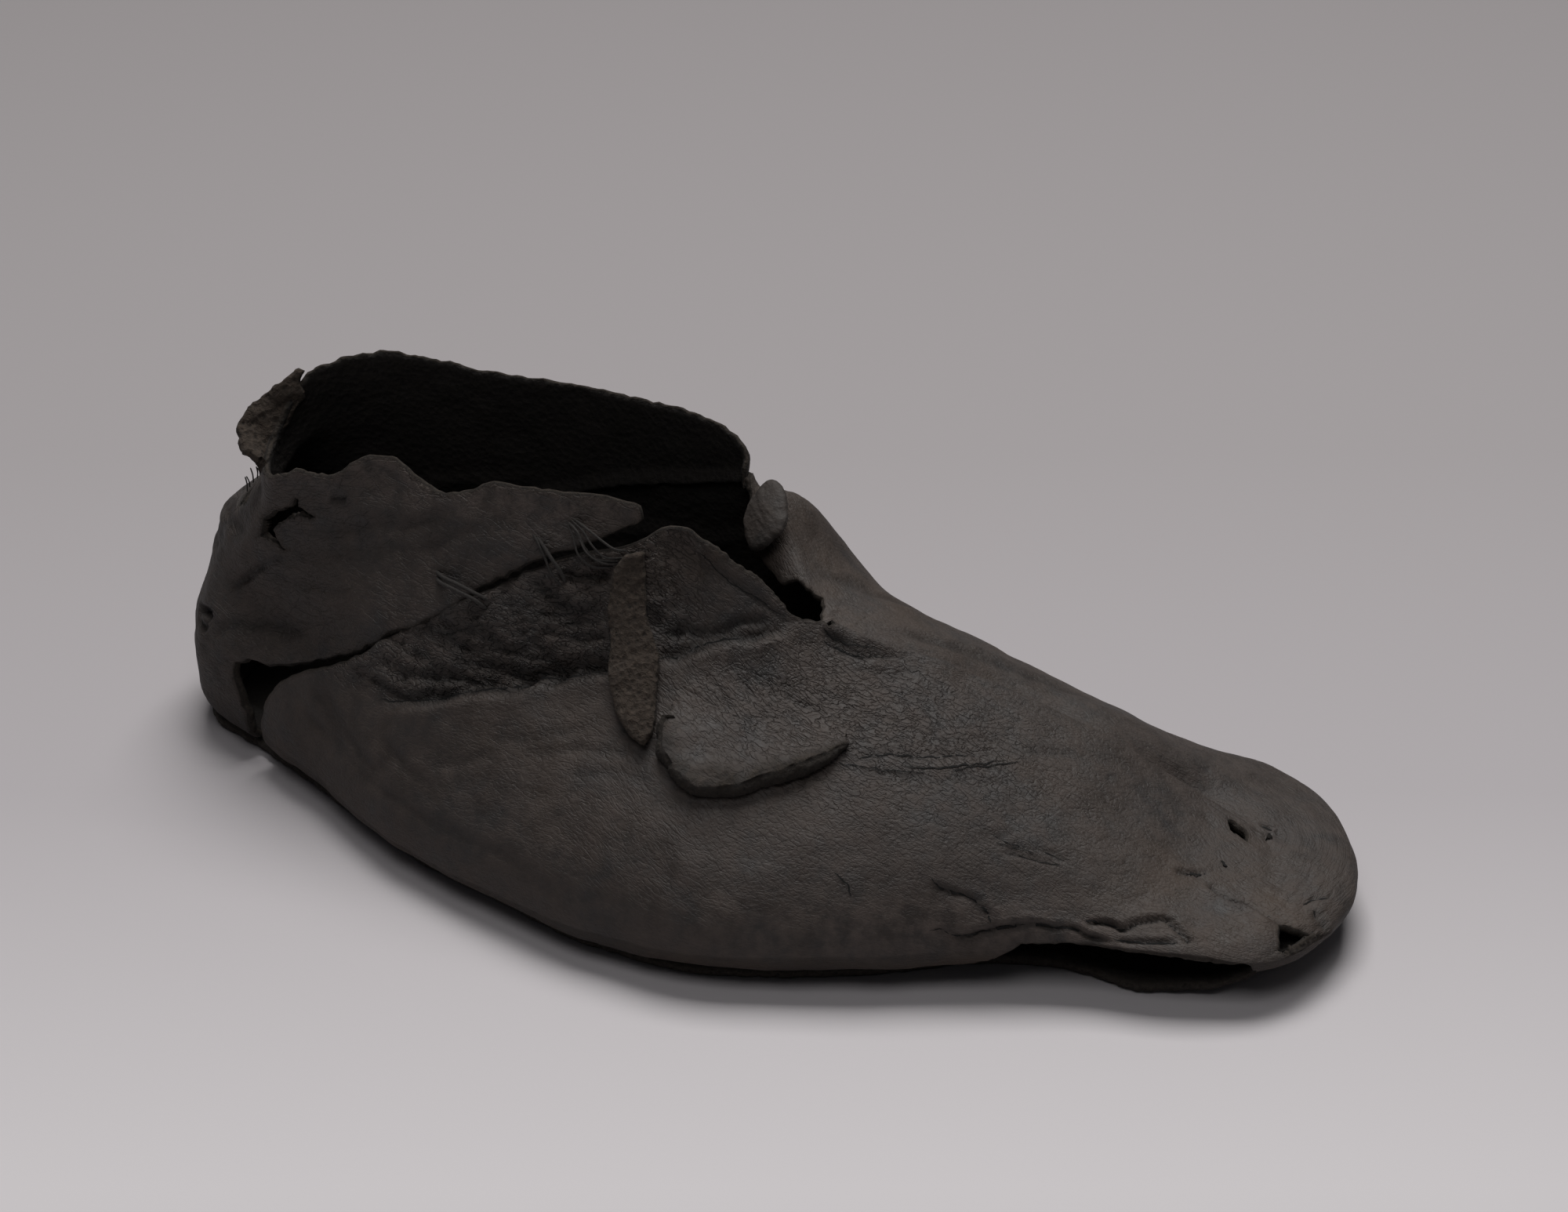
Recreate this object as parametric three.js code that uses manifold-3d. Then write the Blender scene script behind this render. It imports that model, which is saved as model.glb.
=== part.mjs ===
// A soft leather ankle shoe for the right foot, old and torn: a flat sole, a forepart with two wings,
// a back quarter with a high collar, a tab on the instep, a tie thong and a folded tie.
// Millimetres, X from heel to toe, -Y the outer side of the foot, +Z up, floor at zero.
import * as THREE from "three";
import { mergeVertices } from "three/addons/utils/BufferGeometryUtils.js";
import Module from "manifold-3d";

const wasm = await Module();
wasm.setup();

// Driving sizes
const LENGTH = 231; // back of the heel to the tip of the toe
const BALL_WIDTH = 90; // across the upper at the ball of the foot
const COLLAR_HEIGHT = 70; // floor to the highest point of the collar
const UPPER_WALL = 2.2; // thickness of the upper's leather
const SOLE_WALL = 2.8; // thickness of the sole
const TURN_IN = 6; // how far the sole seam lies in from the widest line of the upper
const MARGIN = 4; // width of the upper's margin that rests on the sole
const SOLE_LIP = 1; // how far the sole reaches out past its seam
const ARCH_LIFT = 0.5; // rise of the sole under the waist
const TOE_SPRING = 3; // rise of the sole at the toe
const SEAM_GAPE = 2.2; // width of the open seams between forepart and quarter
const HEEL_FLARE = 4.5; // how far the torn piece at the back of the heel stands out
const FLAP_REACH = 5.5; // length of the loose flap at the back of the collar
const TAB_EDGE = 3.2; // thickness of the instep tab at its rough lower edge
const TAB_ROOT = 0.9; // thickness of the instep tab where it runs out
const THONG_THICKNESS = 2.2; // thickness of the tie thong
const TIE_THICKNESS = 2.4; // thickness of the folded tie on the inner side
const CLEARANCE = 0.3; // gap between pieces that touch
const HALF = 0.5;

const UP = new THREE.Vector3(0, 0, 1);
const QUARTER_TURN = Math.PI / 2;

// Widest line of the upper, from the heel back to the toe tip: outer side x, y, z, then inner side x, y, z,
// as shares of LENGTH, BALL_WIDTH and COLLAR_HEIGHT
const EDGE = [
  { at: "heel back", outer: [0.006, 0.033, 0.271], inner: [0.006, 0.033, 0.271] },
  { at: "heel corner", outer: [0.03, -0.133, 0.214], inner: [0.03, 0.178, 0.214] },
  { at: "heel side", outer: [0.095, -0.222, 0.129], inner: [0.095, 0.267, 0.171] },
  { at: "breast", outer: [0.182, -0.344, 0.104], inner: [0.199, 0.311, 0.157] },
  { at: "waist", outer: [0.286, -0.489, 0.094], inner: [0.32, 0.311, 0.157] },
  { at: "instep", outer: [0.424, -0.6, 0.103], inner: [0.459, 0.333, 0.157] },
  { at: "wing", outer: [0.494, -0.626, 0.109], inner: [0.528, 0.356, 0.157] },
  { at: "ball", outer: [0.567, -0.618, 0.114], inner: [0.597, 0.378, 0.157] },
  { at: "vamp", outer: [0.684, -0.514, 0.129], inner: [0.71, 0.411, 0.157] },
  { at: "toe root", outer: [0.797, -0.378, 0.143], inner: [0.81, 0.389, 0.143] },
  { at: "toe lobe", outer: [0.892, -0.322, 0.157], inner: [0.892, 0.411, 0.143] },
  { at: "toe corner", outer: [0.974, -0.222, 0.136], inner: [0.957, 0.3, 0.143] },
  { at: "toe tip", outer: [1, 0.044, 0.136], inner: [1, 0.044, 0.136] },
];

// Top line of the upper at the same stations: collar, throat, and from the ball on the ridge of the vamp
const TOP = [
  { at: "heel back", outer: [0.078, 0, 0.871], inner: [0.078, 0, 0.871] },
  { at: "heel corner", outer: [0.104, -0.111, 0.857], inner: [0.091, 0.122, 0.943] },
  { at: "heel side", outer: [0.152, -0.133, 0.914], inner: [0.139, 0.222, 0.993] },
  { at: "breast", outer: [0.216, -0.133, 0.943], inner: [0.225, 0.267, 0.979] },
  { at: "waist", outer: [0.312, -0.156, 0.96], inner: [0.338, 0.278, 0.986] },
  { at: "instep", outer: [0.446, -0.133, 0.963], inner: [0.459, 0.211, 0.971] },
  { at: "wing", outer: [0.513, -0.106, 0.839], inner: [0.494, 0.067, 0.757] },
  { at: "ball", outer: [0.576, -0.067, 0.714], inner: [0.576, -0.067, 0.714] },
  { at: "vamp", outer: [0.68, 0.033, 0.571], inner: [0.68, 0.033, 0.571] },
  { at: "toe root", outer: [0.784, 0.089, 0.429], inner: [0.784, 0.089, 0.429] },
  { at: "toe lobe", outer: [0.861, 0.133, 0.264], inner: [0.861, 0.133, 0.264] },
  { at: "toe corner", outer: [0.913, 0.111, 0.2], inner: [0.913, 0.111, 0.2] },
  { at: "toe tip", outer: [0.913, 0.111, 0.2], inner: [0.913, 0.111, 0.2] },
];

// Fullness of the wall at the same stations. Rise, lean and drop pull the middle of each rib, tilt is the
// slope across the top line, and turn is the share of TURN_IN by which the outer and inner wall turn in below
const SWELL = [
  { at: "heel back", outer: [0.3, 0, 0.3], inner: [0.3, 0, 0.3], tilt: 0, turn: [0.5, 0.5] },
  { at: "heel corner", outer: [0.3, 0, 0.3], inner: [0.3, 0, 0.3], tilt: 0, turn: [0.5, 0.5] },
  { at: "heel side", outer: [0.25, 0, 0.35], inner: [0.25, 0, 0.35], tilt: 0, turn: [0.65, 0.65] },
  { at: "breast", outer: [0.25, 0, 0.35], inner: [0.25, 0, 0.35], tilt: 0, turn: [0.85, 0.85] },
  { at: "waist", outer: [0.3, 0, 0.4], inner: [0.25, 0, 0.35], tilt: 0, turn: [1, 1] },
  { at: "instep", outer: [0.38, 0, 0.45], inner: [0.25, 0.1, 0.3], tilt: 0, turn: [1, 1] },
  { at: "wing", outer: [0.42, 0.1, 0.31], inner: [0.62, 0.5, -0.58], tilt: 0.25, turn: [1, 1] },
  { at: "ball", outer: [0.45, 0.22, 0.15], inner: [0.35, 0.56, -0.02], tilt: 0.45, turn: [1, 1] },
  { at: "vamp", outer: [0.5, 0.45, 0.02], inner: [0.38, 0.32, 0], tilt: 0.1, turn: [1.3, 1] },
  { at: "toe root", outer: [0.5, 0.5, 0], inner: [0.33, 0.28, 0], tilt: 0, turn: [2, 1] },
  { at: "toe lobe", outer: [0.5, 0.5, 0], inner: [0.4, 0.3, 0], tilt: 0, turn: [2.2, 1] },
  { at: "toe corner", outer: [0.6, 0.5, 0], inner: [0.6, 0.5, 0], tilt: 0, turn: [1.6, 1] },
  { at: "toe tip", outer: [0.6, 0.5, 0], inner: [0.6, 0.5, 0], tilt: 0, turn: [1, 1] },
];
const TIP = EDGE.length - 1;
const BALL = EDGE.findIndex((row) => row.at === "ball");

// Seams between quarter and forepart: height up the wall, station, and gape as a share of SEAM_GAPE
const OUTER_SEAM = [
  { height: 0, station: 2.05, gape: 2.4 },
  { height: 0.07, station: 2, gape: 3.3 },
  { height: 0.12, station: 1.93, gape: 4.4 },
  { height: 0.19, station: 1.94, gape: 4.9 },
  { height: 0.25, station: 2.06, gape: 4.4 },
  { height: 0.29, station: 2.24, gape: 3.3 },
  { height: 0.33, station: 2.43, gape: 2.6 },
  { height: 0.4, station: 2.82, gape: 1.9 },
  { height: 0.47, station: 3.1, gape: 1.2 },
  { height: 0.58, station: 3.39, gape: 1 },
  { height: 0.65, station: 3.67, gape: 0.8 },
  { height: 0.71, station: 3.94, gape: 0.8 },
  { height: 0.8, station: 4.23, gape: 1.3 },
  { height: 0.86, station: 4.45, gape: 1.5 },
  { height: 0.9, station: 4.68, gape: 2.4 },
  { height: 0.94, station: 4.86, gape: 2 },
  { height: 1, station: 5.12, gape: 1.9 },
];
const INNER_SEAM = [
  { height: 0, station: 2.3, gape: 0.4 },
  { height: 0.35, station: 2.65, gape: 0.4 },
  { height: 0.58, station: 3.38, gape: 0.4 },
  { height: 0.7, station: 4, gape: 0.4 },
  { height: 0.8, station: 4.6, gape: 0.4 },
  { height: 0.9, station: 5.2, gape: 0.5 },
  { height: 1, station: 5.4, gape: 0.8 },
];

// Torn rims: station, counted below zero on the inner side of the quarter, and height left of the wall
const QUARTER_RIM = [
  { station: -5.2, height: 0.985 },
  { station: -4.8, height: 1 },
  { station: -1, height: 1 },
  { station: -0.2, height: 0.93 },
  { station: 0.6, height: 0.89 },
  { station: 1, height: 0.92 },
  { station: 1.35, height: 0.955 },
  { station: 1.55, height: 0.965 },
  { station: 1.74, height: 0.95 },
  { station: 2.1, height: 0.935 },
  { station: 2.4, height: 0.96 },
  { station: 2.64, height: 1 },
  { station: 2.9, height: 1 },
  { station: 3.2, height: 0.96 },
  { station: 3.46, height: 0.94 },
  { station: 3.7, height: 0.955 },
  { station: 3.92, height: 0.995 },
  { station: 4.75, height: 1 },
  { station: 5.1, height: 0.965 },
];
const OUTER_THROAT = [
  { station: 5, height: 0.965 },
  { station: 5.25, height: 0.99 },
  { station: 5.5, height: 0.99 },
  { station: 5.9, height: 0.97 },
  { station: 6.7, height: 0.975 },
  { station: 7, height: 1 },
];
// Open seam between the outer wall and the sole at the toe: station and the lowest height left of the wall
const TOE_MOUTH = [
  { station: 8.3, height: -2 },
  { station: 8.55, height: -0.6 },
  { station: 8.9, height: 0.04 },
  { station: 9.5, height: 0.07 },
  { station: 10.4, height: 0.08 },
  { station: 10.7, height: 0.03 },
  { station: 10.9, height: -0.7 },
  { station: 11.1, height: -2 },
];
const INNER_THROAT = [
  { station: 5.4, height: 0.97 },
  { station: 5.8, height: 1 },
  { station: 6.35, height: 1 },
  { station: 6.5, height: 0.96 },
  { station: 6.88, height: 0.89 },
  { station: 7, height: 1 },
];

const TAB_EDGE_POWER = 3; // how late the tab thickens towards its lower edge

// Instep tab: its rough lower edge and the line where it runs out, each as station and height
const TAB = [
  { low: [5.8, 0.56], high: [5.66, 0.66] },
  { low: [5.86, 0.515], high: [5.85, 0.74] },
  { low: [6, 0.478], high: [6.05, 0.8] },
  { low: [6.22, 0.45], high: [6.3, 0.835] },
  { low: [6.46, 0.437], high: [6.5, 0.855] },
  { low: [6.68, 0.45], high: [6.7, 0.86] },
  { low: [6.9, 0.475], high: [6.95, 0.85] },
  { low: [7.08, 0.515], high: [7.12, 0.83] },
  { low: [7.26, 0.56], high: [7.28, 0.8] },
  { low: [7.4, 0.605], high: [7.38, 0.76] },
  { low: [7.5, 0.655], high: [7.44, 0.72] },
];

// Tie thong: its two long edges from the slit in the wing down to its knotted end, as station and height
const THONG = [
  { left: [4.82, 0.895], right: [4.94, 0.91] },
  { left: [4.78, 0.855], right: [4.96, 0.875] },
  { left: [4.77, 0.815], right: [5, 0.83] },
  { left: [4.8, 0.745], right: [5.08, 0.76] },
  { left: [4.88, 0.68], right: [5.22, 0.715] },
  { left: [4.94, 0.62], right: [5.34, 0.68] },
  { left: [5.06, 0.56], right: [5.46, 0.625] },
  { left: [5.2, 0.52], right: [5.56, 0.575] },
  { left: [5.42, 0.49], right: [5.66, 0.54] },
  { left: [5.66, 0.478], right: [5.7, 0.505] },
];

// Folded tie on the inner wing: its two long edges, as station from the heel and height
const TIE = [
  { left: [5.74, 0.985], right: [6.08, 0.99] },
  { left: [5.7, 0.94], right: [6.22, 0.95] },
  { left: [5.72, 0.89], right: [6.3, 0.9] },
  { left: [5.78, 0.84], right: [6.26, 0.86] },
  { left: [5.9, 0.8], right: [6.12, 0.81] },
];

// Tears through the quarter, as station and height of each corner
const STAR_TEAR = [
  [1.06, 0.725],
  [1.26, 0.785],
  [1.48, 0.81],
  [1.58, 0.83],
  [1.6, 0.855],
  [1.69, 0.85],
  [1.7, 0.82],
  [2.02, 0.797],
  [1.58, 0.775],
  [1.46, 0.735],
  [1.4, 0.71],
  [1.72, 0.655],
  [1.3, 0.67],
  [1.17, 0.645],
  [1.2, 0.69],
];
const BACK_TEAR = [
  [-0.62, 0.675],
  [-0.1, 0.665],
  [0.3, 0.65],
  [0.28, 0.6],
  [-0.2, 0.615],
  [-0.65, 0.625],
];

// Slits and the torn corner of the toe, as station and height of each corner
const TOE_TEARS = [
  [
    [10.42, 0.95],
    [10.7, 0.94],
    [10.72, 0.9],
    [10.45, 0.92],
  ],
  [
    [11.02, 0.42],
    [11.25, 0.3],
    [11.5, 0.02],
    [11.1, 0.06],
    [10.98, 0.2],
  ],
];

// Rows of the meshes: heights above the widest line, then the turn below it and the margin
const TURN_ROWS = [-0.3, -0.6, -0.85, -1, -2];
const COLLAR_ROWS = [1, 0.94, 0.87, 0.79, 0.71, 0.63, 0.54, 0.44, 0.34, 0.23, 0.12, 0];
const QUARTER_ROWS = [...COLLAR_ROWS, ...TURN_ROWS];
const INSTEP_ROWS = [1, 0.96, 0.92, 0.88, 0.84, 0.8, 0.76, 0.72, 0.67];
const SIDE_ROWS = [0.6, 0.53, 0.46, 0.37, 0.28, 0.19, 0.1, 0];
const FOREPART_ROWS = [...INSTEP_ROWS, ...SIDE_ROWS, ...TURN_ROWS];
const FORE_COLUMNS = 18; // columns of the forepart from each seam to the ball
const TOE_COLUMNS = 13; // columns from the ball to the toe tip on each side
const QUARTER_COLUMNS = 36;
const SOLE_COLUMNS = 32;
const SOLE_ROWS = 6;
const TAB_MESH = [20, 9]; // columns along and rows across
const THONG_MESH = [22, 4];
const TIE_MESH = [10, 5];
const TURN_HANDLE = 0.6; // reach of the handles of the turned-in curve, as a share of its height and width
const STATION_STEP = 0.02; // step that finds the direction of the widest line
const SKIN_STEP = 0.01; // step that finds the way out from the skin

const lerp = THREE.MathUtils.lerp;
const smooth = (value, from, to) => THREE.MathUtils.smoothstep(value, from, to);

function scaled([x, y, z]) {
  return new THREE.Vector3(x * LENGTH, y * BALL_WIDTH, z * COLLAR_HEIGHT);
}

// A closed line through the outer stations to the toe and back along the inner ones
function loop(outer, inner) {
  const back = inner.slice(1, -1).reverse();
  return new THREE.CatmullRomCurve3([...outer, ...back], true, "catmullrom", 0.5);
}

// The four lines that steer every rib, from the widest line up to the top line
function ribControls(side) {
  return EDGE.map((row, i) => {
    const edge = scaled(row[side]);
    const top = scaled(TOP[i][side]);
    const [rise, lean, drop] = SWELL[i][side];
    const height = top.z - edge.z;
    const low = edge.clone().addScaledVector(UP, rise * height);
    const high = top.clone();
    high.x += lean * (edge.x - top.x);
    high.y += lean * (edge.y - top.y);
    high.z += SWELL[i].tilt * (high.y - top.y) - drop * height;
    return [edge, low, high, top];
  });
}
const OUTER_RIBS = ribControls("outer");
const INNER_RIBS = ribControls("inner");
const LINES = [0, 1, 2, 3].map((k) => {
  const outer = OUTER_RIBS.map((rib) => rib[k]);
  const inner = INNER_RIBS.map((rib) => rib[k]);
  return loop(outer, inner);
});
const TURN_LINE = loop(
  SWELL.map((row) => new THREE.Vector3(row.turn[0], 0, 0)),
  SWELL.map((row) => new THREE.Vector3(row.turn[1], 0, 0)),
);

function onLoop(line, station) {
  return line.getPoint(THREE.MathUtils.euclideanModulo(station, 2 * TIP) / (2 * TIP));
}

// Value of a named column of a table at a place between its rows
function lookUp(table, key, place, column) {
  const next = table.findIndex((row) => row[key] >= place);
  if (next === 0) return table[0][column];
  if (next < 0) return table[table.length - 1][column];
  const [a, b] = [table[next - 1], table[next]];
  return lerp(a[column], b[column], (place - a[key]) / (b[key] - a[key]));
}

// Underside of the sole: flat at heel and forefoot, lifted at the waist and sprung at the toe
const HEEL_FLAT_END = 0.26;
const FOREFOOT_FLAT = 0.46;
const TOE_BREAK = 0.86;
function tread(x) {
  const share = x / LENGTH;
  const waist = (share - HEEL_FLAT_END) / (FOREFOOT_FLAT - HEEL_FLAT_END);
  const arch = Math.sin(Math.PI * THREE.MathUtils.clamp(waist, 0, 1)) ** 2;
  return ARCH_LIFT * arch + TOE_SPRING * smooth(share, TOE_BREAK, 1);
}

// Place and inward direction of the seam between upper and sole at a station
function soleSeam(station) {
  const edge = onLoop(LINES[0], station);
  const ahead = onLoop(LINES[0], station + STATION_STEP).sub(onLoop(LINES[0], station - STATION_STEP));
  const inward = new THREE.Vector3(-ahead.y, ahead.x, 0).normalize();
  const turn = TURN_IN * onLoop(TURN_LINE, station).x;
  const seam = edge.clone().addScaledVector(inward, turn);
  seam.z = tread(seam.x) + SOLE_WALL + CLEARANCE;
  return { edge, inward, turn, seam };
}

// The upper's outer face. Height runs from 1 at the top line to 0 at the widest line, -1 at the sole
// seam and -2 at the end of the margin
function skin(station, height) {
  if (height >= 0) {
    const rib = new THREE.CubicBezierCurve3(...LINES.map((line) => onLoop(line, station)));
    const mirrored = 2 * TIP - station;
    const closedTop = station >= BALL && mirrored >= BALL;
    if (closedTop) rib.v3.add(onLoop(LINES[3], mirrored)).multiplyScalar(HALF);
    return rib.getPoint(height);
  }
  const { edge, inward, turn, seam } = soleSeam(station);
  if (height < -1) {
    const point = seam.clone().addScaledVector(inward, (-1 - height) * MARGIN);
    point.z = tread(point.x) + SOLE_WALL + CLEARANCE;
    return point;
  }
  const low = edge.clone().addScaledVector(UP, -TURN_HANDLE * (edge.z - seam.z));
  const under = seam.clone().addScaledVector(inward, -TURN_HANDLE * turn);
  return new THREE.CubicBezierCurve3(edge, low, under, seam).getPoint(-height);
}

function outward(station, height) {
  const ahead = skin(station + SKIN_STEP, height).sub(skin(station - SKIN_STEP, height));
  const rise = skin(station, height + SKIN_STEP).sub(skin(station, height - SKIN_STEP));
  return ahead.cross(rise).normalize();
}

// An open sheet of triangles through point(u, v), with u across its columns and v down its rows
function sheet(columns, rows, point) {
  const geometry = new THREE.PlaneGeometry(1, 1, columns, rows);
  geometry.deleteAttribute("normal");
  geometry.deleteAttribute("uv");
  const place = geometry.attributes.position;
  for (let i = 0; i < place.count; i++) {
    const column = i % (columns + 1);
    const { x, y, z } = point(column, Math.floor(i / (columns + 1)));
    place.setXYZ(i, x, y, z);
  }
  return geometry;
}

// A closed solid between an open sheet and a copy of it moved by under(place, normal, index)
function shell(openSheet, under) {
  const geometry = openSheet.clone();
  const index = geometry.index.array;
  const faces = [];
  for (let i = 0; i < index.length; i += 3) {
    const [a, b, c] = index.slice(i, i + 3);
    if (a !== b && b !== c && c !== a) faces.push([a, b, c]);
  }
  geometry.setIndex(faces.flat());
  geometry.computeVertexNormals();
  const place = geometry.attributes.position;
  const normal = geometry.attributes.normal;
  const count = place.count;
  const points = [];
  for (let i = 0; i < count; i++) points.push(new THREE.Vector3().fromBufferAttribute(place, i));
  for (let i = 0; i < count; i++) {
    points.push(under(points[i].clone(), new THREE.Vector3().fromBufferAttribute(normal, i), i));
  }
  const edges = new Set(faces.flatMap(([a, b, c]) => [`${a} ${b}`, `${b} ${c}`, `${c} ${a}`]));
  const all = faces.flatMap(([a, b, c]) => [
    [a, b, c],
    [c + count, b + count, a + count],
  ]);
  for (const edge of edges) {
    const [a, b] = edge.split(" ").map(Number);
    if (edges.has(`${b} ${a}`)) continue;
    all.push([b, a, a + count], [b, a + count, b + count]);
  }
  const closed = new THREE.BufferGeometry().setFromPoints(points);
  closed.setIndex(all.flat());
  return closed;
}

// A sheet whose columns or rows meet, with each shared corner held once
const JOIN = 1e-3;
const joined = (openSheet) => mergeVertices(openSheet, JOIN);

function shifted(openSheet, distance) {
  const geometry = openSheet.clone();
  geometry.computeVertexNormals();
  const { position, normal } = geometry.attributes;
  for (let i = 0; i < position.count; i++) {
    const place = new THREE.Vector3().fromBufferAttribute(position, i);
    place.addScaledVector(new THREE.Vector3().fromBufferAttribute(normal, i), distance);
    position.setXYZ(i, place.x, place.y, place.z);
  }
  geometry.deleteAttribute("normal");
  return geometry;
}

const wallBelow = (thickness) => (place, normal) => place.addScaledVector(normal, -thickness);

function solid(geometry) {
  const vertProperties = new Float32Array(geometry.attributes.position.array);
  const triVerts = new Uint32Array(geometry.index.array);
  return new wasm.Manifold(new wasm.Mesh({ numProp: 3, vertProperties, triVerts }));
}

// A prism across the wall over a small outline given as stations and heights
function punch(outline) {
  const corners = outline.map(([station, height]) => new THREE.Vector2(station, height));
  const flat = new THREE.ShapeGeometry(new THREE.Shape(corners));
  flat.deleteAttribute("normal");
  flat.deleteAttribute("uv");
  const place = flat.attributes.position;
  const reach = 2 * UPPER_WALL;
  for (let i = 0; i < place.count; i++) {
    const [station, height] = [place.getX(i), place.getY(i)];
    const { x, y, z } = torn(station, height).addScaledVector(outward(station, height), reach);
    place.setXYZ(i, x, y, z);
  }
  return solid(shell(flat, wallBelow(2 * reach)));
}

// Half the seam's gape, in stations
function halfGape(seam, station, height) {
  const spacing = skin(station + HALF, height).distanceTo(skin(station - HALF, height));
  return (SEAM_GAPE * lookUp(seam, "height", height, "gape")) / spacing / 2;
}

function seamStation(seam, side, height, towards) {
  const up = Math.max(height, 0);
  const station = lookUp(seam, "height", up, "station");
  return station + towards * halfGape(seam, side * station, up);
}

// The quarter's face, with the torn piece at the back of the heel flared out below its tear
const LOBE = { station: -0.35, spread: 1.1, height: 0.5, low: 0.16, high: 0.12 };
function torn(station, height) {
  const point = skin(station, height);
  const across = (station - LOBE.station) / LOBE.spread;
  const rise = height - LOBE.height;
  const up = rise / (rise < 0 ? LOBE.low : LOBE.high);
  const flare = HEEL_FLARE * Math.exp(-across * across - up * up);
  point.x -= flare;
  return point;
}

// Loose flap at the back of the collar: its root on the rim and the points that it is bent out to
const FLAP = [
  { station: -0.85, reach: 0.15, side: 0.1, rise: 0.1 },
  { station: -0.65, reach: 0.5, side: 0.05, rise: 0.12 },
  { station: -0.4, reach: 0.9, side: -0.05, rise: 0.12 },
  { station: -0.15, reach: 1.1, side: -0.2, rise: 0.08 },
  { station: 0.1, reach: 0.8, side: -0.45, rise: -0.02 },
  { station: 0.3, reach: 0.35, side: -0.45, rise: -0.1 },
  { station: 0.45, reach: 0.1, side: -0.2, rise: -0.1 },
];
const FLAP_ROWS = 5;
const FLAP_WALL = 0.9 * UPPER_WALL;
const FLAP_ROOT = 0.06; // how deep the flap's root lies below the rim, as a share of the wall's height

function flap() {
  const face = sheet(FLAP.length - 1, FLAP_ROWS, (column, row) => {
    const { station, reach, side, rise } = FLAP[column];
    const height = lookUp(QUARTER_RIM, "station", station, "height") - FLAP_ROOT;
    const out = (row / FLAP_ROWS) * FLAP_REACH;
    const root = torn(station, height).addScaledVector(outward(station, height), -UPPER_WALL / 2);
    const lift = FLAP_ROOT * COLLAR_HEIGHT * Math.sin(QUARTER_TURN * (row / FLAP_ROWS));
    return root.add(new THREE.Vector3(-reach * out, side * out, rise * out + lift));
  });
  return solid(shell(shifted(face, FLAP_WALL / 2), wallBelow(FLAP_WALL)));
}

function backQuarter() {
  const face = sheet(QUARTER_COLUMNS, QUARTER_ROWS.length - 1, (column, row) => {
    const height = QUARTER_ROWS[row];
    const from = -seamStation(INNER_SEAM, -1, height, -1);
    const to = seamStation(OUTER_SEAM, 1, height, -1);
    const station = lerp(from, to, column / QUARTER_COLUMNS);
    const left = height > 0 ? lookUp(QUARTER_RIM, "station", station, "height") : 1;
    return torn(station, height * left);
  });
  const wall = solid(shell(face, wallBelow(UPPER_WALL)));
  return wall.add(flap()).subtract(punch(STAR_TEAR)).subtract(punch(BACK_TEAR));
}

// Stations across the forepart in one row: outer seam, ball, toe tip, ball, inner seam
function forepartStation(column, height) {
  const side = FORE_COLUMNS + TOE_COLUMNS;
  const outer = column <= side;
  const step = outer ? column : 2 * side - column;
  const seam = outer ? seamStation(OUTER_SEAM, 1, height, 1) : seamStation(INNER_SEAM, -1, height, 1);
  const station =
    step <= FORE_COLUMNS
      ? lerp(seam, BALL, step / FORE_COLUMNS)
      : lerp(BALL, TIP, (step - FORE_COLUMNS) / TOE_COLUMNS);
  const throat = outer ? OUTER_THROAT : INNER_THROAT;
  const left = height > 0 ? lookUp(throat, "station", station, "height") : 1;
  const level = height * left;
  if (!outer) return [2 * TIP - station, level];
  return [station, Math.max(level, lookUp(TOE_MOUTH, "station", station, "height"))];
}

function vamp() {
  const columns = 2 * (FORE_COLUMNS + TOE_COLUMNS);
  const face = sheet(columns, FOREPART_ROWS.length - 1, (column, row) =>
    skin(...forepartStation(column, FOREPART_ROWS[row])),
  );
  const wall = solid(shell(joined(face), wallBelow(UPPER_WALL)));
  return TOE_TEARS.reduce((left, outline) => left.subtract(punch(outline)), wall);
}

function sole() {
  const outline = (station) => {
    const { seam, inward } = soleSeam(station);
    return seam.addScaledVector(inward, -SOLE_LIP);
  };
  const face = sheet(SOLE_COLUMNS, SOLE_ROWS, (column, row) => {
    const station = (TIP * column) / SOLE_COLUMNS;
    const point = outline(-station).lerp(outline(station), row / SOLE_ROWS);
    point.z = tread(point.x) + SOLE_WALL;
    return point;
  });
  return solid(shell(joined(face), (place) => place.addScaledVector(UP, -SOLE_WALL)));
}

// A piece laid on the forepart between two edges, with its thickness given across it
function overlay([columns, rows], sideA, sideB, thickness) {
  const line = (points) =>
    new THREE.CatmullRomCurve3(points.map(([station, height]) => new THREE.Vector3(station, height, 0)));
  const [a, b] = [line(sideA), line(sideB)];
  const inner = [];
  const face = sheet(columns, rows, (column, row) => {
    const place = a.getPoint(column / columns).lerp(b.getPoint(column / columns), row / rows);
    const away = outward(place.x, place.y);
    const base = skin(place.x, place.y).addScaledVector(away, CLEARANCE);
    inner.push(base.clone());
    return base.addScaledVector(away, thickness(column / columns, row / rows));
  });
  return solid(shell(face, (place, normal, i) => inner[i]));
}

// Share of a strap's full thickness across it, from the share at its sides
const STRAP_SIDE = 0.62;
const rounded = (side, across) => lerp(side, 1, Math.sin(Math.PI * across));

function instepTab() {
  const high = TAB.map((row) => row.high);
  const low = TAB.map((row) => row.low);
  const share = (down) => Math.sin(QUARTER_TURN * down) ** TAB_EDGE_POWER;
  const thickness = (along, down) => lerp(TAB_ROOT, TAB_EDGE, share(down));
  return overlay(TAB_MESH, high, low, thickness);
}

function tieThong() {
  const left = THONG.map((row) => row.left);
  const right = THONG.map((row) => row.right);
  const thickness = (along, across) => THONG_THICKNESS * rounded(STRAP_SIDE, across);
  return overlay(THONG_MESH, right, left, thickness);
}

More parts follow.
